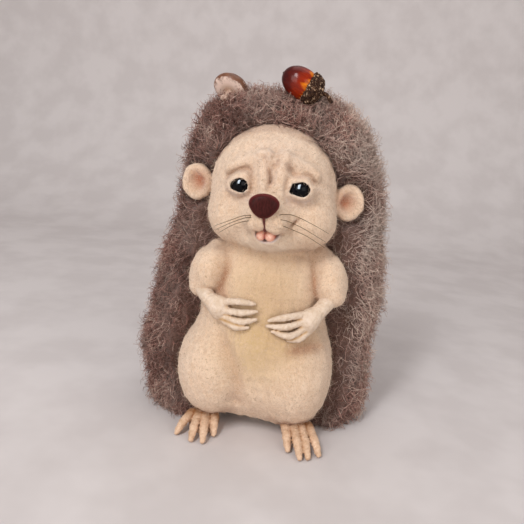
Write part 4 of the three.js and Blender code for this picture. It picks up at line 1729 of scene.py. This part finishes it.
@dataclass
class Foot:
    """A clay foot: a low pad under the thigh and four long toes that rest on the floor."""

    bench: Bench
    side: Side
    x: float
    roots: Sequence[float]
    tips: Outline
    root_height: float = 8.0
    tip_height: float = 2.2
    toe_radii: Sequence[float] = (2.8, 2.9, 2.65, 2.45, 2.55, 2.5, 2.25, 2.0, 1.6)
    pad: Vec = (9.2, 14.0, 8.8)
    wrinkles: Ripple = Ripple(31, 2.6)
    pits: Ripple = Ripple(32, 1.0)
    cell: float = 0.5

    def toes(self) -> list[Form]:
        """The four toes.

        Returns:
            The toes, from the inner one out.
        """
        made = []
        for root_x, (tip_x, tip_y) in zip(self.roots, self.tips):
            root, tip = np.array((root_x, -33, self.root_height)), np.array((tip_x, tip_y, self.tip_height))
            knuckle = root + 0.55 * (tip - root) + (0, -0.5, 1.6)
            made.append(Roll(curve_through([tuple(root), tuple(knuckle), tuple(tip)], 4), self.toe_radii).form)
        return made

    def form(self) -> Form:
        """The whole foot, cut flat at the floor."""
        whole = blended(1.3, Lump((self.x, -29, 2.5), self.pad).form, *self.toes())
        rough = whole.rippled((0.1, self.wrinkles), (0.05, self.pits))
        return rough.hollowed(0.6, Form(lambda p: p[:, 2] - 0.05))

    def build(self, finish: Material) -> None:
        """Makes the foot.

        Args:
            finish: The clay.
        """
        span = [tip[0] for tip in self.tips]
        low, high = (min(span) - 5, min(tip[1] for tip in self.tips) - 4, -0.5), (max(span) + 5, -16.0, 13.0)
        corners, faces = Lattice.around(low, high, self.cell).net(self.form())
        # Brown between the toes: colour worked in, and painted shade; painted shade at the back under the thigh;
        # darker along the floor.
        rubbed = 0.8 * between(self.toes(), corners, 0.8)
        rubbed += 0.8 * smooth_step(corners[:, 1], -40, -35) + 0.35 * smooth_step(-corners[:, 2], -1.2, -0.2)
        Piece(f"clay_foot_{self.side.word}", self.bench, corners, faces, {"rubbed": np.clip(rubbed, 0, 1)}).placed(
            finish, "clay", f"foot_{self.side.word}")


# ---- the acorn and the mushroom
@dataclass
class Acorn:
    """A glossy acorn that lies on its side in the wool, with its rough cup to the doll's left."""

    bench: Bench
    centre: Vec = (10.9, -12, 205.2)
    axis: Vec = (-0.9, 0, 0.436)
    nut_radius: float = 8.6
    nut_half: float = 11.6
    cup_radius: float = 8.9
    cup_depth: float = 7.1
    cup_back: float = 5.9
    grain_radius: float = 0.62
    grain_density: float = 1.5
    stalk_path: Sequence[Vec] = ((20.5, -12, 200.4), (24.1, -12, 200.6), (26.6, -12, 199.3), (28.4, -12, 196.6))
    lumps: Ripple = Ripple(41, 4.0)
    grit: Ripple = Ripple(42, 1.5)

    def along(self, distance: float) -> Points:
        """A point on the acorn's axis, at a distance from its middle towards the tip."""
        return np.array(self.centre) + distance * unit(np.array(self.axis))

    @property
    def room(self) -> Form:
        """The space that the acorn keeps clear of wool."""
        return Roll(np.stack([self.along(-6.0), self.along(3.4)]), (9.0, 8.2)).form

    def nut(self, finish: Material) -> None:
        """Turns the nut, blunt with a small point at its tip.

        Args:
            finish: The resin.
        """
        profile = arc(self.nut_radius, self.nut_half, -math.pi / 2, math.pi / 2, 40)
        profile = [(r, h + 0.5 * max(1 - r / 1.2, 0) ** 2 * (h > 0)) for r, h in profile]
        corners, faces, own = Lathe(profile, self.centre, self.axis, 56).mesh()
        corners += 0.02 * self.lumps.at(corners)[:, None] * (corners - self.centre) / self.nut_radius
        Piece("acorn_nut_resin", self.bench, corners, faces, {"own_place": own}).placed(
            finish, "nut_resin", "acorn_nut")

    def cup(self, finish: Material) -> None:
        """Turns the cup with a lumpy bark, crusts it with grains and adds the bent stalk.

        Args:
            finish: The bark.
        """
        base = self.along(-self.cup_back)
        outside = arc(self.cup_radius, self.cup_depth, -math.pi / 2, 0.12, 22)
        lip = [(self.cup_radius * 0.95, 1.6), (self.cup_radius * 0.9, 1.3), (self.cup_radius * 0.88, 0.2)]
        corners, faces, _ = Lathe(outside + lip + [(0, -0.4)], tuple(base), self.axis, 56).mesh()
        away = unit(corners - base)
        corners += (0.3 * self.lumps.at(corners) + 0.16 * self.grit.at(corners))[:, None] * away
        crust = bpy.data.meshes.new("acorn_cup_bark")
        crust.from_pydata(self.bench.metres(corners).tolist(), [], faces)
        crust.shade_smooth()
        marked(crust, "outer", away @ self.axis < 0.22)
        w = Weave("acorn_crust")
        size, seed = w.size("Grain radius", self.grain_radius * MM), w.size("Seed", 9)
        density = w.size("Grains per square metre", self.grain_density / MM ** 2)
        grain = w.out("GeometryNodeMeshIcoSphere", {"Radius": size, "Subdivisions": 1})
        grains = w.out("GeometryNodeInstanceOnPoints", {
            "Points": w.strewn("outer", density, seed).outputs[0], "Instance": grain,
            "Rotation": w.drawn((0, 0, 0), (6.28, 6.28, 6.28), seed),
            "Scale": w.drawn((0.5, 0.5, 0.5), (1.35, 1.35, 1.1), seed)})
        toned = w.out("GeometryNodeStoreNamedAttribute", {
            "Geometry": grains, "Name": "grain_tone", "Value": w.drawn(0.0, 1.0, seed)},
            data_type="FLOAT", domain="INSTANCE")
        joined = w.node("GeometryNodeJoinGeometry")
        for part in (w.source.outputs[0], toned):
            w.tree.links.new(part, joined.inputs[0])
        mesh = w.ended(joined.outputs[0], finish).grown_on(crust)
        declared("acorn_cup_bark", mesh, finish, "acorn_cup", "acorn_cup")
        self.stalk(finish)

    def stalk(self, finish: Material) -> None:
        """Makes the short curved stalk at the bottom of the cup.

        Args:
            finish: The bark.
        """
        path = curve_through(self.stalk_path, 4)
        radii = np.interp(np.linspace(0, 1, len(path)), (0, 0.3, 0.8, 1), (1.6, 1.15, 1.0, 1.05))
        rough = Roll(path, radii).form.rippled((0.12, self.grit))
        corners, faces = Lattice.around(path.min(0) - 2.2, path.max(0) + 2.2, 0.42).net(rough)
        Piece("acorn_stalk", self.bench, corners, faces).placed(finish, "acorn_cup", "acorn_cup")

    def build(self, resin: Material, bark: Material) -> None:
        """Makes the nut, the cup and the stalk."""
        self.nut(resin)
        self.cup(bark)


@dataclass
class Mushroom:
    """A painted mushroom that leans back in the wool, so that its cream underside shows."""

    bench: Bench
    centre: Vec = (-30.3, 4, 199.4)
    axis: Vec = (0.33, 0.66, 0.67)
    cap_radius: float = 11.2
    cap_height: float = 7.4
    stem_radius: float = 1.9
    stem_length: float = 9.5
    dents: Ripple = Ripple(51, 6.0)

    @property
    def room(self) -> Form:
        """The space that the mushroom keeps clear of wool."""
        cap = blended(2.0, Lump((0, 0, 1.8), (11.6, 11.6, 5.8)).form, Lump((0, 0, -3.0), (3.6, 3.6, 4.0)).form)
        turn = Lathe((), self.centre, self.axis).turn
        return Form(lambda p: cap.at((p - self.centre) @ turn.T))

    def build(self, paint: Material, stem_paint: Material) -> None:
        """Turns the cap, with its hollowed underside, and the stem.

        Args:
            paint: The cap's material.
            stem_paint: The stem's material.
        """
        radius, height = self.cap_radius, self.cap_height
        under = [(0, -2.2), (radius * 0.25, -2.2), (radius * 0.5, -2.1), (radius * 0.7, -2.0), (radius * 0.86, -1.8),
                 (radius * 0.95, -1.6)]
        dome = arc(radius, height, -0.15, math.pi / 2, 22)
        corners, faces, own = Lathe(under + dome, self.centre, self.axis, 56).mesh()
        corners += 0.12 * self.dents.at(corners)[:, None] * (corners - self.centre) / radius
        Piece("mushroom_cap_paint", self.bench, corners, faces, {"own_place": own}).placed(
            paint, "mushroom_cap", "mushroom_cap")
        r, length = self.stem_radius, self.stem_length
        profile = [(0, -length), (r + 0.6, -length + 0.3), (r + 1.0, -length + 1.5), (r + 0.3, -length * 0.7),
                   (r, -length * 0.45), (r * 0.95, -length * 0.2), (r * 1.25, -0.9), (r * 1.6, -0.2), (0, 0.4)]
        corners, faces, own = Lathe(profile, self.centre, self.axis, 28).mesh()
        Piece("mushroom_stem_paint", self.bench, corners, faces, {"own_place": own}).placed(
            stem_paint, "mushroom_stem", "mushroom_stem")


# ---- the wool coat
@dataclass
class WoolCoat:
    """Frizzy wool over the crown, back and flanks: a matted undercoat with thin crinkled locks rooted in it."""

    bench: Bench
    felt: Form
    trinkets: Form
    y: float = 8.0
    half_width: float = 81.5
    half_depth: float = 52.0
    widest: float = 55.0
    top: float = 206.5
    below: float = 75.0
    sway: float = 4.2
    swell_step: float = 12.0
    left_swell: Sequence[float] = (2, 0, -2, -5.5, -5.8, -6.8, -4, -2.8, -3.6, -5, -5, -3.4, -2.4, -1.1, -0.6, 1, 1)
    right_swell: Sequence[float] = (
        -1.5, -4.5, -4.5, 0, -1, -3, -4.5, -4.2, -3.5, -5, -7.3, -6, -4.6, -1.5, -0.5, 1.5, 3.5)
    face_opening: Lump = Lump((1, -52, 134), (82, 46, 50))
    body_opening: Lump = Lump((10, -54, 56), (90, 46, 84))
    floor_opening: Lump = Lump((6, -34, 0), (36, 30, 17))
    ear_openings: Sequence[Lump] = (Lump((49, -19, 140.8), (17, 15, 17)), Lump((-49, -19, 145.4), (17, 15, 17)))
    opening_softness: float = 9.0
    pile: float = 8.6
    undercoat_cell: float = 2.7
    count: int = 65000
    length: float = 12.0
    root_radius: float = 0.175
    tip_radius: float = 0.075
    joints: int = 4
    upright: float = 0.55
    brushed: float = 0.3
    swirled: float = 0.26
    strayed: float = 0.5
    tone: float = 0.38
    tone_spread: float = 0.23
    # How far each lock darkens at its root and pales at its tip: painted shade and painted light.
    tip_paleness: float = 0.5
    crown_level: float = 161.0
    back_half_width: float = 41.0
    fullest: int = 9000
    seed: int = 17

    def egg(self) -> Form:
        """The coat's outer face, before it opens at the front.

        Returns:
            The egg.
        """
        def value(p: Points) -> Points:
            """Negative inside the egg."""
            up = np.clip((p[:, 2] - self.widest) / (self.top - self.widest), 0, None) ** 1.65
            down = np.clip((self.widest - p[:, 2]) / self.below, 0, None) ** 4
            middle = self.sway * np.sin(math.pi * (p[:, 2] - 60) / 170)
            step = p[:, 2] / self.swell_step
            swell = np.where(p[:, 0] > 0, np.interp(step, np.arange(17), self.left_swell),
                             -np.interp(step, np.arange(17), self.right_swell))
            x = p[:, 0] - middle - swell * smooth_step(np.abs(p[:, 0]), 10, 50)
            across = np.hypot(x / self.half_width, (p[:, 1] - self.y) / self.half_depth)
            return across ** 3.5 + up + down - 1

        def at(p: Points) -> Points:
            """About the distance to the egg."""
            here, step = value(p), 0.05
            slope = np.stack([value(p + step * np.eye(3)[n]) - here for n in range(3)])
            return here * step / np.maximum(np.linalg.norm(slope, axis=0), 1e-4)
        return Form(at)

    def outline(self) -> Form:
        """The coat out to the tips of its locks."""
        openings = [lump.form for lump in (self.face_opening, self.body_opening, *self.ear_openings)]
        return self.egg().hollowed(self.opening_softness, *openings).hollowed(3.0, self.floor_opening.form)

    def undercoat(self) -> Form:
        """The matted wool under the locks, clear of the felt, the trinkets and the floor.

        Returns:
            The undercoat.
        """
        openings = [lump.form.grown(1.2) for lump in (
            self.face_opening, self.body_opening, self.floor_opening, *self.ear_openings)]
        inner = self.egg().grown(-self.pile).hollowed(5.0, *openings)
        floor = Form(lambda p: p[:, 2] - 0.7)
        return inner.rippled((0.5, Ripple(self.seed, 9.0))).hollowed(
            1.2, self.felt.grown(0.35), self.trinkets.grown(0.3), floor)

    def rooted(self, corners: Points, faces: Points) -> Points:
        """Scatters the locks' roots over the undercoat's outer face.

        Args:
            corners: The undercoat's corners.
            faces: Its faces.

        Returns:
            The roots.
        """
        draw = np.random.default_rng(self.seed)
        triangles = np.vstack([faces[:, [0, 1, 2]], faces[:, [0, 2, 3]]])
        a, b, c = (corners[triangles[:, n]] for n in range(3))
        middle = (a + b + c) / 3
        area = np.linalg.norm(np.cross(b - a, c - a), axis=1)
        shown = (self.outline().at(middle) > -self.pile - 2.2) & (middle[:, 2] > 1.2)
        area *= shown * (self.felt.at(middle) > 0.8)
        picked = draw.choice(len(triangles), self.count, p=area / area.sum())
        u, v = draw.random((2, self.count, 1))
        u, v = np.where(u + v > 1, 1 - u, u), np.where(u + v > 1, 1 - v, v)
        return a[picked] + u * (b - a)[picked] + v * (c - a)[picked]

    def lay(self, p: Points, normal: Points) -> Points:
        """The way that the wool was brushed: fanned out from the face, and down the back.

        Args:
            p: Points in the doll's frame.
            normal: The skin's direction at each.

        Returns:
            A direction for each point.
        """
        back = smooth_step(p[:, 1], 5, 35)
        rise = (p[:, 2] - 118) / 45 * (1 - back) - 0.9 * back
        way = np.stack([(p[:, 0] - 1) / 60, (p[:, 1] - self.y) / 160, rise], 1)
        way -= normal * (way * normal).sum(1)[:, None]
        return unit(way, 0.25)

    def lines(self, roots: Points) -> Points:
        """Grows the locks' middle lines.

        Args:
            roots: The locks' roots.

        Returns:
            For each lock its points from root to tip.
        """
        draw = np.random.default_rng(self.seed + 1)
        count = len(roots)
        normal = unit(self.undercoat().slope(roots, 0.4))
        lay = self.lay(roots, normal)
        swirl = np.stack([Ripple(self.seed + n, 15.0).at(roots) for n in (2, 3, 4)], 1)
        way = unit(self.upright * normal + self.brushed * lay + self.swirled * swirl
                   + self.strayed * draw.normal(size=(count, 3)))
        drift = draw.normal(size=(count, 3))
        side = unit(np.cross(way, draw.normal(size=(count, 3))))
        other = np.cross(way, side)
        step = self.length / self.joints * (0.45 + 0.95 * draw.random((count, 1)) ** 1.4)
        crimp = draw.uniform(0.14, 0.36, (count, 1)) * step
        phase, pace = draw.uniform(0, 2 * math.pi, (count, 1)), draw.uniform(1.8, 3.1, (count, 1))
        here, line = roots - 0.6 * normal, []
        for joint in range(self.joints + 1):
            wave = crimp * min(1.0, joint / 2)
            angle = phase + pace * joint
            line.append(here + wave * (np.cos(angle) * side + np.sin(angle) * other))
            here = here + way * step
            way = unit(way + 0.26 * drift + 0.08 * lay)
        return self.tamed(np.stack(line, 1), draw)

    def tamed(self, line: Points, draw: np.random.Generator) -> Points:
        """Keeps locks within the coat's outline, off the felt and trinkets and above the floor.

        Args:
            line: Each lock's points.
            draw: Where chance is drawn from.

        Returns:
            The same points, moved.
        """
        outline = self.outline()
        flyaway = 7.6 * draw.random(len(line)) ** 1.7 - 6.0
        for joint in range(1, self.joints + 1):
            p = line[:, joint]
            for form, least, sign, share in ((outline, flyaway, -1, 0.85), (self.felt, 0.45, 1, 1.0),
                                             (self.trinkets, 0.3, 1, 1.0)):
                for _ in range(2):
                    gap = form.at(p)
                    wrong = np.maximum(gap - least, 0) if sign < 0 else np.maximum(least - gap, 0)
                    some = wrong > 0
                    p[some] += sign * share * wrong[some, None] * unit(form.slope(p[some], 0.2), 0.3)
            p[:, 2] = np.maximum(p[:, 2], 0.35)
        return line

    def tones(self, roots: Points) -> tuple[Points, Points]:
        """Each lock's own tone and greyness: clumps of alike wool with fibres of all shades among them, with painted
        light on the doll's left side and painted shade next to the felt.

        Args:
            roots: The locks' roots.

        Returns:
            The tones and the greynesses.
        """
        draw = np.random.default_rng(self.seed + 5)
        clumps = Ripple(self.seed + 6, 8.0).at(roots)
        patches = Ripple(self.seed + 7, 30.0).at(roots)
        # Paler and greyer on the doll's left side: the wool's own colour there, and painted light.
        paler_side_and_painted_light = smooth_step(roots[:, 0], 0, 55) * smooth_step(roots[:, 2], -10, 110)
        dusky = smooth_step(-roots[:, 0], 10, 50)
        tone = self.tone + 0.12 * clumps + 0.09 * patches + self.tone_spread * draw.normal(size=len(roots))
        # Painted shade in the wool next to the felt.
        tone += 0.29 * paler_side_and_painted_light - 0.11 * dusky - 0.2 * fading(self.felt.at(roots), 9.0)
        grey = 0.13 * Ripple(self.seed + 8, 26.0).at(roots) + 0.32 * draw.random(len(roots))
        grey += 0.32 * paler_side_and_painted_light - 0.1 * dusky
        return tone, np.clip(grey, 0, 0.8)

    def spun(self, name: str, line: Points, tone: Points, grey: Points, unwrap: Points,
             finish: Material, node: str) -> None:
        """Makes one piece of closed, three-sided, tapering locks.

        Args:
            name: The piece's name.
            line: Each lock's points.
            tone: Each lock's tone.
            grey: Each lock's greyness.
            unwrap: Each root's place on the skin's unwrap.
            finish: The wool's material.
            node: The CAD node that it stands for.
        """
        count, rings = len(line), self.joints
        ahead = unit(np.gradient(line, axis=1)[:, :rings])
        side = unit(np.cross(ahead, np.array([0.31, 0.87, 0.38])))
        other = np.cross(ahead, side)
        share = np.arange(rings) / rings
        radius = (self.root_radius + (self.tip_radius - self.root_radius) * share ** 1.5)[None, :, None, None]
        angle = np.arange(3) * 2 * math.pi / 3
        around = (np.cos(angle)[None, None, :, None] * side[:, :, None]
                  + np.sin(angle)[None, None, :, None] * other[:, :, None])
        tube = (line[:, :rings, None] + radius * around).reshape(count, -1, 3)
        corners = np.concatenate([tube, line[:, -1:]], 1)
        each = rings * 3 + 1
        quads = [(3 * k + n, 3 * k + (n + 1) % 3, 3 * k + 3 + (n + 1) % 3, 3 * k + 3 + n)
                 for k in range(rings - 1) for n in range(3)]
        ends = [(3 * rings - 3 + n, 3 * rings - 3 + (n + 1) % 3, each - 1) for n in range(3)] + [(2, 1, 0)]
        loops = np.array([v for face in quads + ends for v in face])
        sizes = np.array([4] * len(quads) + [3] * len(ends))
        mesh = bpy.data.meshes.new(name)
        mesh.vertices.add(count * each)
        mesh.vertices.foreach_set("co", self.bench.metres(corners.reshape(-1, 3)).astype(np.float32).ravel())
        mesh.loops.add(count * len(loops))
        mesh.loops.foreach_set("vertex_index", (np.arange(count)[:, None] * each + loops).ravel().astype(np.int32))
        mesh.polygons.add(count * len(sizes))
        starts = np.concatenate([[0], np.cumsum(sizes)[:-1]])
        mesh.polygons.foreach_set(
            "loop_start", (np.arange(count)[:, None] * len(loops) + starts).ravel().astype(np.int32))
        mesh.update(calc_edges=True)
        along = np.append(np.repeat(share, 3), 1.0)
        # Darker at the root and paler at the tip along each lock: painted shade and painted light.
        shades = np.clip(tone[:, None] + self.tip_paleness * (along[None] - 0.45), 0, 1)
        marked(mesh, "wool_tone", shades.ravel())
        marked(mesh, "wool_tint", np.repeat(grey, each))
        own = np.stack([(loops % 3) / 2, np.minimum(loops // 3, rings) / rings], 1)
        patches = BakeMap().corners(unwrap)
        BakeMap().laid(mesh, np.repeat(patches, len(loops), axis=0), np.tile(own, (count, 1)))
        mesh.shade_smooth()
        declared(name, mesh, finish, "wool", node)

    def build(self, wool: Material, matted: Material) -> None:
        """Makes the undercoat and the locks, in pieces of no more than the fullest count.

        Args:
            wool: The locks' material.
            matted: The undercoat's material.
        """
        corners, faces = Lattice.around((-88, -46, -0.5), (88, 62, 205), self.undercoat_cell).net(self.undercoat())
        nodes = ("coat_crown", "coat_back", "coat_left", "coat_right")
        Piece("wool_undercoat", self.bench, corners, faces).placed(matted, "wool", *nodes)
        roots = self.rooted(corners, faces)
        line = self.lines(roots)
        tone, grey = self.tones(roots)
        angle = np.arctan2(roots[:, 0] - 1, self.y - roots[:, 1])
        crown = roots[:, 2] > self.crown_level
        for word, chosen, key in (("crown", crown, roots[:, 0]), ("flank", ~crown, angle)):
            picked = np.flatnonzero(chosen)
            picked = picked[np.argsort(key[picked], kind="stable")]
            for n, part in enumerate(np.array_split(picked, math.ceil(len(picked) / self.fullest)), 1):
                if word == "crown":
                    across = roots[part] - (0, self.y, 120)
                    tilt = np.arctan2(np.hypot(across[:, 0], across[:, 1]), across[:, 2])
                    turn = np.arctan2(across[:, 1], across[:, 0])
                    unwrap = np.stack([tilt * np.cos(turn), tilt * np.sin(turn)], 1)
                else:
                    unwrap = np.stack([angle[part], roots[part, 2]], 1)
                low, high = unwrap.min(0), unwrap.max(0)
                unwrap = 0.01 + 0.97 * (unwrap - low) / (high - low)
                where = roots[part].mean(0)
                side = "back" if abs(where[0]) < self.back_half_width else "left" if where[0] > 0 else "right"
                node = "coat_crown" if word == "crown" else f"coat_{side}"
                self.spun(f"wool_{word}_{n}", line[part], tone[part], grey[part], unwrap, wool, node)


# ---- the studio
def hung(name: str, data: bpy.types.ID, axes: Sequence[Points], place: Sequence[float]) -> Object:
    """Puts a camera or a lamp at its place, with its own x, y and z turned to the given axes.

    Args:
        name: Its name.
        data: The camera or lamp.
        axes: The three directions.
        place: Its place in the model's frame.

    Returns:
        The object.
    """
    made = stood(name, data)
    turned = Matrix(np.stack(axes, 1).tolist()).to_4x4()
    turned.translation = place
    made.matrix_world = turned
    return made


@dataclass(frozen=True)
class Viewpoint:
    """The camera: where it stands in the doll's frame, which way it looks and how it is held."""

    place: Vec = (17.0, -340.0, 178.35)
    turn: float = 3.42
    pitch: float = 13.26
    roll: float = 4.81
    lens: float = 38.47

    def build(self, bench: Bench) -> None:
        """Sets the camera up.

        Args:
            bench: Where the doll stands.
        """
        a, e, r = (math.radians(angle) for angle in (self.turn, self.pitch, self.roll))
        ahead = np.array([-math.sin(a) * math.cos(e), math.cos(a) * math.cos(e), -math.sin(e)])
        right = np.array([math.cos(a), math.sin(a), 0.0])
        up = np.cross(right, ahead)
        across, above = right * math.cos(r) + up * math.sin(r), up * math.cos(r) - right * math.sin(r)
        camera = bpy.data.cameras.new("camera")
        camera.lens = self.lens
        camera.clip_start = 0.01
        place = bench.metres(np.array(self.place))
        bpy.context.scene.camera = hung("camera", camera, (across, above, -ahead), place)


@dataclass(frozen=True)
class SoftBox:
    """A soft upright light: its place, size, power in watts, colour and the only pieces that it lights, if any."""

    name: str
    place: Vec
    width: float
    height: float
    power: float
    colour: Colour = (1.0, 1.0, 1.0)
    aim: Vec = (0.0, 0.0, 0.1)
    only: Sequence[str] = ()

    def build(self) -> None:
        """Hangs the light."""
        lamp = bpy.data.lights.new(self.name, "AREA")
        lamp.shape, lamp.size, lamp.size_y = "RECTANGLE", self.width, self.height
        lamp.energy, lamp.color = self.power, self.colour
        back = unit(np.array(self.place) - np.array(self.aim))
        across = unit(np.cross((0, 0, 1.0), back))
        made = hung(self.name, lamp, (across, np.cross(back, across), back), self.place)
        if self.only:
            lit = bpy.data.collections.new(self.name)
            for name in self.only:
                lit.objects.link(bpy.data.objects[name])
            made.light_linking.receiver_collection = lit


@dataclass(frozen=True)
class Studio:
    """A pale sheet that curves up behind the doll, soft lights and an even pale sky."""

    half_width: float = 2.2
    front: float = -1.6
    bend_start: float = 0.55
    bend_radius: float = 0.35
    height: float = 2.2
    pale: Colour = (0.62, 0.57, 0.56)
    shade: Colour = (0.565, 0.515, 0.505)
    sky: Colour = (1.0, 0.98, 0.97)
    sky_strength: float = 0.38
    lights: Sequence[SoftBox] = (
        SoftBox("key_light", (-0.72, -1.05, 0.5), 0.6, 0.9, 7.0, (1.0, 0.98, 0.95)),
        SoftBox("high_light", (-0.34, -0.8, 0.95), 0.17, 0.46, 6.8, (0.96, 0.98, 1.0)),
        SoftBox("eye_light", (-0.28, -0.86, 0.86), 0.54, 1.2, 170.0, (0.8, 0.9, 1.0), (0.0, -0.05, 0.15),
                ("eye_ball_left", "eye_ball_right")),
        SoftBox("fill_light", (0.8, -0.85, 0.32), 1.0, 1.0, 6.6, (1.0, 0.975, 0.94)),
        SoftBox("top_light", (0.1, 0.25, 1.25), 0.9, 0.9, 2.8))

    def build(self) -> None:
        """Lays the sheet and hangs the lights."""
        bends = np.linspace(0, math.pi / 2, 17)
        profile = [(self.front, 0.0)] + [
            (self.bend_start + self.bend_radius * math.sin(a), self.bend_radius * (1 - math.cos(a))) for a in bends]
        profile.append((profile[-1][0], self.height))
        corners = [(side * self.half_width, y, z) for y, z in profile for side in (-1, 1)]
        faces = [(2 * n, 2 * n + 1, 2 * n + 3, 2 * n + 2) for n in range(len(profile) - 1)]
        mesh = bpy.data.meshes.new("pale_sheet")
        mesh.from_pydata(corners, [], faces)
        mesh.shade_smooth()
        r = Recipe("pale_sheet", Roughness=0.8, Specular_IOR_Level=0.15)
        cloud = r.noise(r.place(), 60.0, 3.0)
        mesh.materials.append(r.done(r.mixed(r.curve(cloud, 0.4, 0.6), self.shade, self.pale)))
        stood("pale_sheet", mesh)
        world = bpy.data.worlds.new("studio")
        world.use_nodes = True
        back = world.node_tree.nodes["Background"]
        back.inputs["Color"].default_value = (*self.sky, 1.0)
        back.inputs["Strength"].default_value = self.sky_strength
        bpy.context.scene.world = world
        for light in self.lights:
            light.build()
        bpy.context.scene.view_settings.view_transform = "Standard"


# ---- putting the doll together
def main() -> None:
    """Builds the camera, the studio and the doll."""
    logging.basicConfig(level=logging.INFO, format="%(name)s: %(message)s")
    bench = Bench.from_frame(CAD_EYE_MIDDLE)
    log.info("bench stands at %s mm", np.round(bench.shift, 3).tolist())
    Viewpoint().build(bench)

    felt = FeltSkin(bench)
    acorn, mushroom = Acorn(bench), Mushroom(bench)
    coat = WoolCoat(bench, felt.form(), blended(1.0, acorn.room, mushroom.room))
    feet = [
        Foot(bench, Side.LEFT, 28, (20.5, 25.5, 30, 34.5), ((23.4, -52), (30.3, -58.7), (35, -57.5), (41, -53.4))),
        Foot(bench, Side.RIGHT, -29, (-22.5, -27.5, -32, -36),
             ((-20.7, -44.5), (-25.7, -53), (-32.5, -52.5), (-42, -46.7)))]
    skin = felt.build(FeltFinish().material(), coat.outline(), blended(1.0, *(foot.form() for foot in feet)))
    StrayFibres(bench).build(skin, coat.outline())
    Eyes(bench).build(EyeFinish().material())
    Nose(bench).build(NoseFinish().material())
    Tongue(bench).build(TongueFinish().material())
    Threads(bench).build()

    hand_clay = ClayFinish("hand_clay", (0.665, 0.53, 0.425), (0.58, 0.44, 0.325), (0.44, 0.24, 0.08)).material()
    foot_clay = ClayFinish("foot_clay", (0.72, 0.5, 0.35), (0.56, 0.36, 0.23), (0.3, 0.13, 0.05)).material()
    Hand(bench, LEFT_ARM, (
        ((24.3, -42.5, 80.3), (15.2, -47.2, 79.4), (6, -47.4, 76.7)),
        ((25.6, -42, 76.6), (15.7, -47.6, 74), (5.2, -48.1, 73.7)),
        ((27, -41.5, 73), (18.4, -47.4, 68.9), (8.3, -48.2, 70.8)),
        ((28.6, -41, 71), (24.1, -44.6, 67), (17.5, -46.6, 66)))).build(hand_clay)
    Hand(bench, RIGHT_ARM, (
        ((-20.5, -43.8, 83.8), (-10.9, -47.2, 85.7), (-2.5, -46.6, 85)),
        ((-20.8, -44, 79), (-10.3, -48, 79.6), (-1, -47, 81)),
        ((-20.4, -44, 75.5), (-9.9, -48.2, 74.6), (-1.2, -47.6, 76.5)),
        ((-19.6, -44, 73.4), (-12.5, -47.8, 71.2), (-5.2, -48, 71.6)))).build(hand_clay)
    for foot in feet:
        foot.build(foot_clay)

    acorn.build(ResinFinish().material(), CupFinish().material())
    stem_paint = PlainFinish("mushroom_stem_paint", (0.6, 0.44, 0.35), (0.46, 0.31, 0.23), 0.5, 2.0)
    mushroom.build(CapFinish().material(), stem_paint.material())
    coat.build(WoolFinish().material(), UndercoatFinish().material())
    Studio().build()

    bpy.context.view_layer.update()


if __name__ == "__main__":
    main()
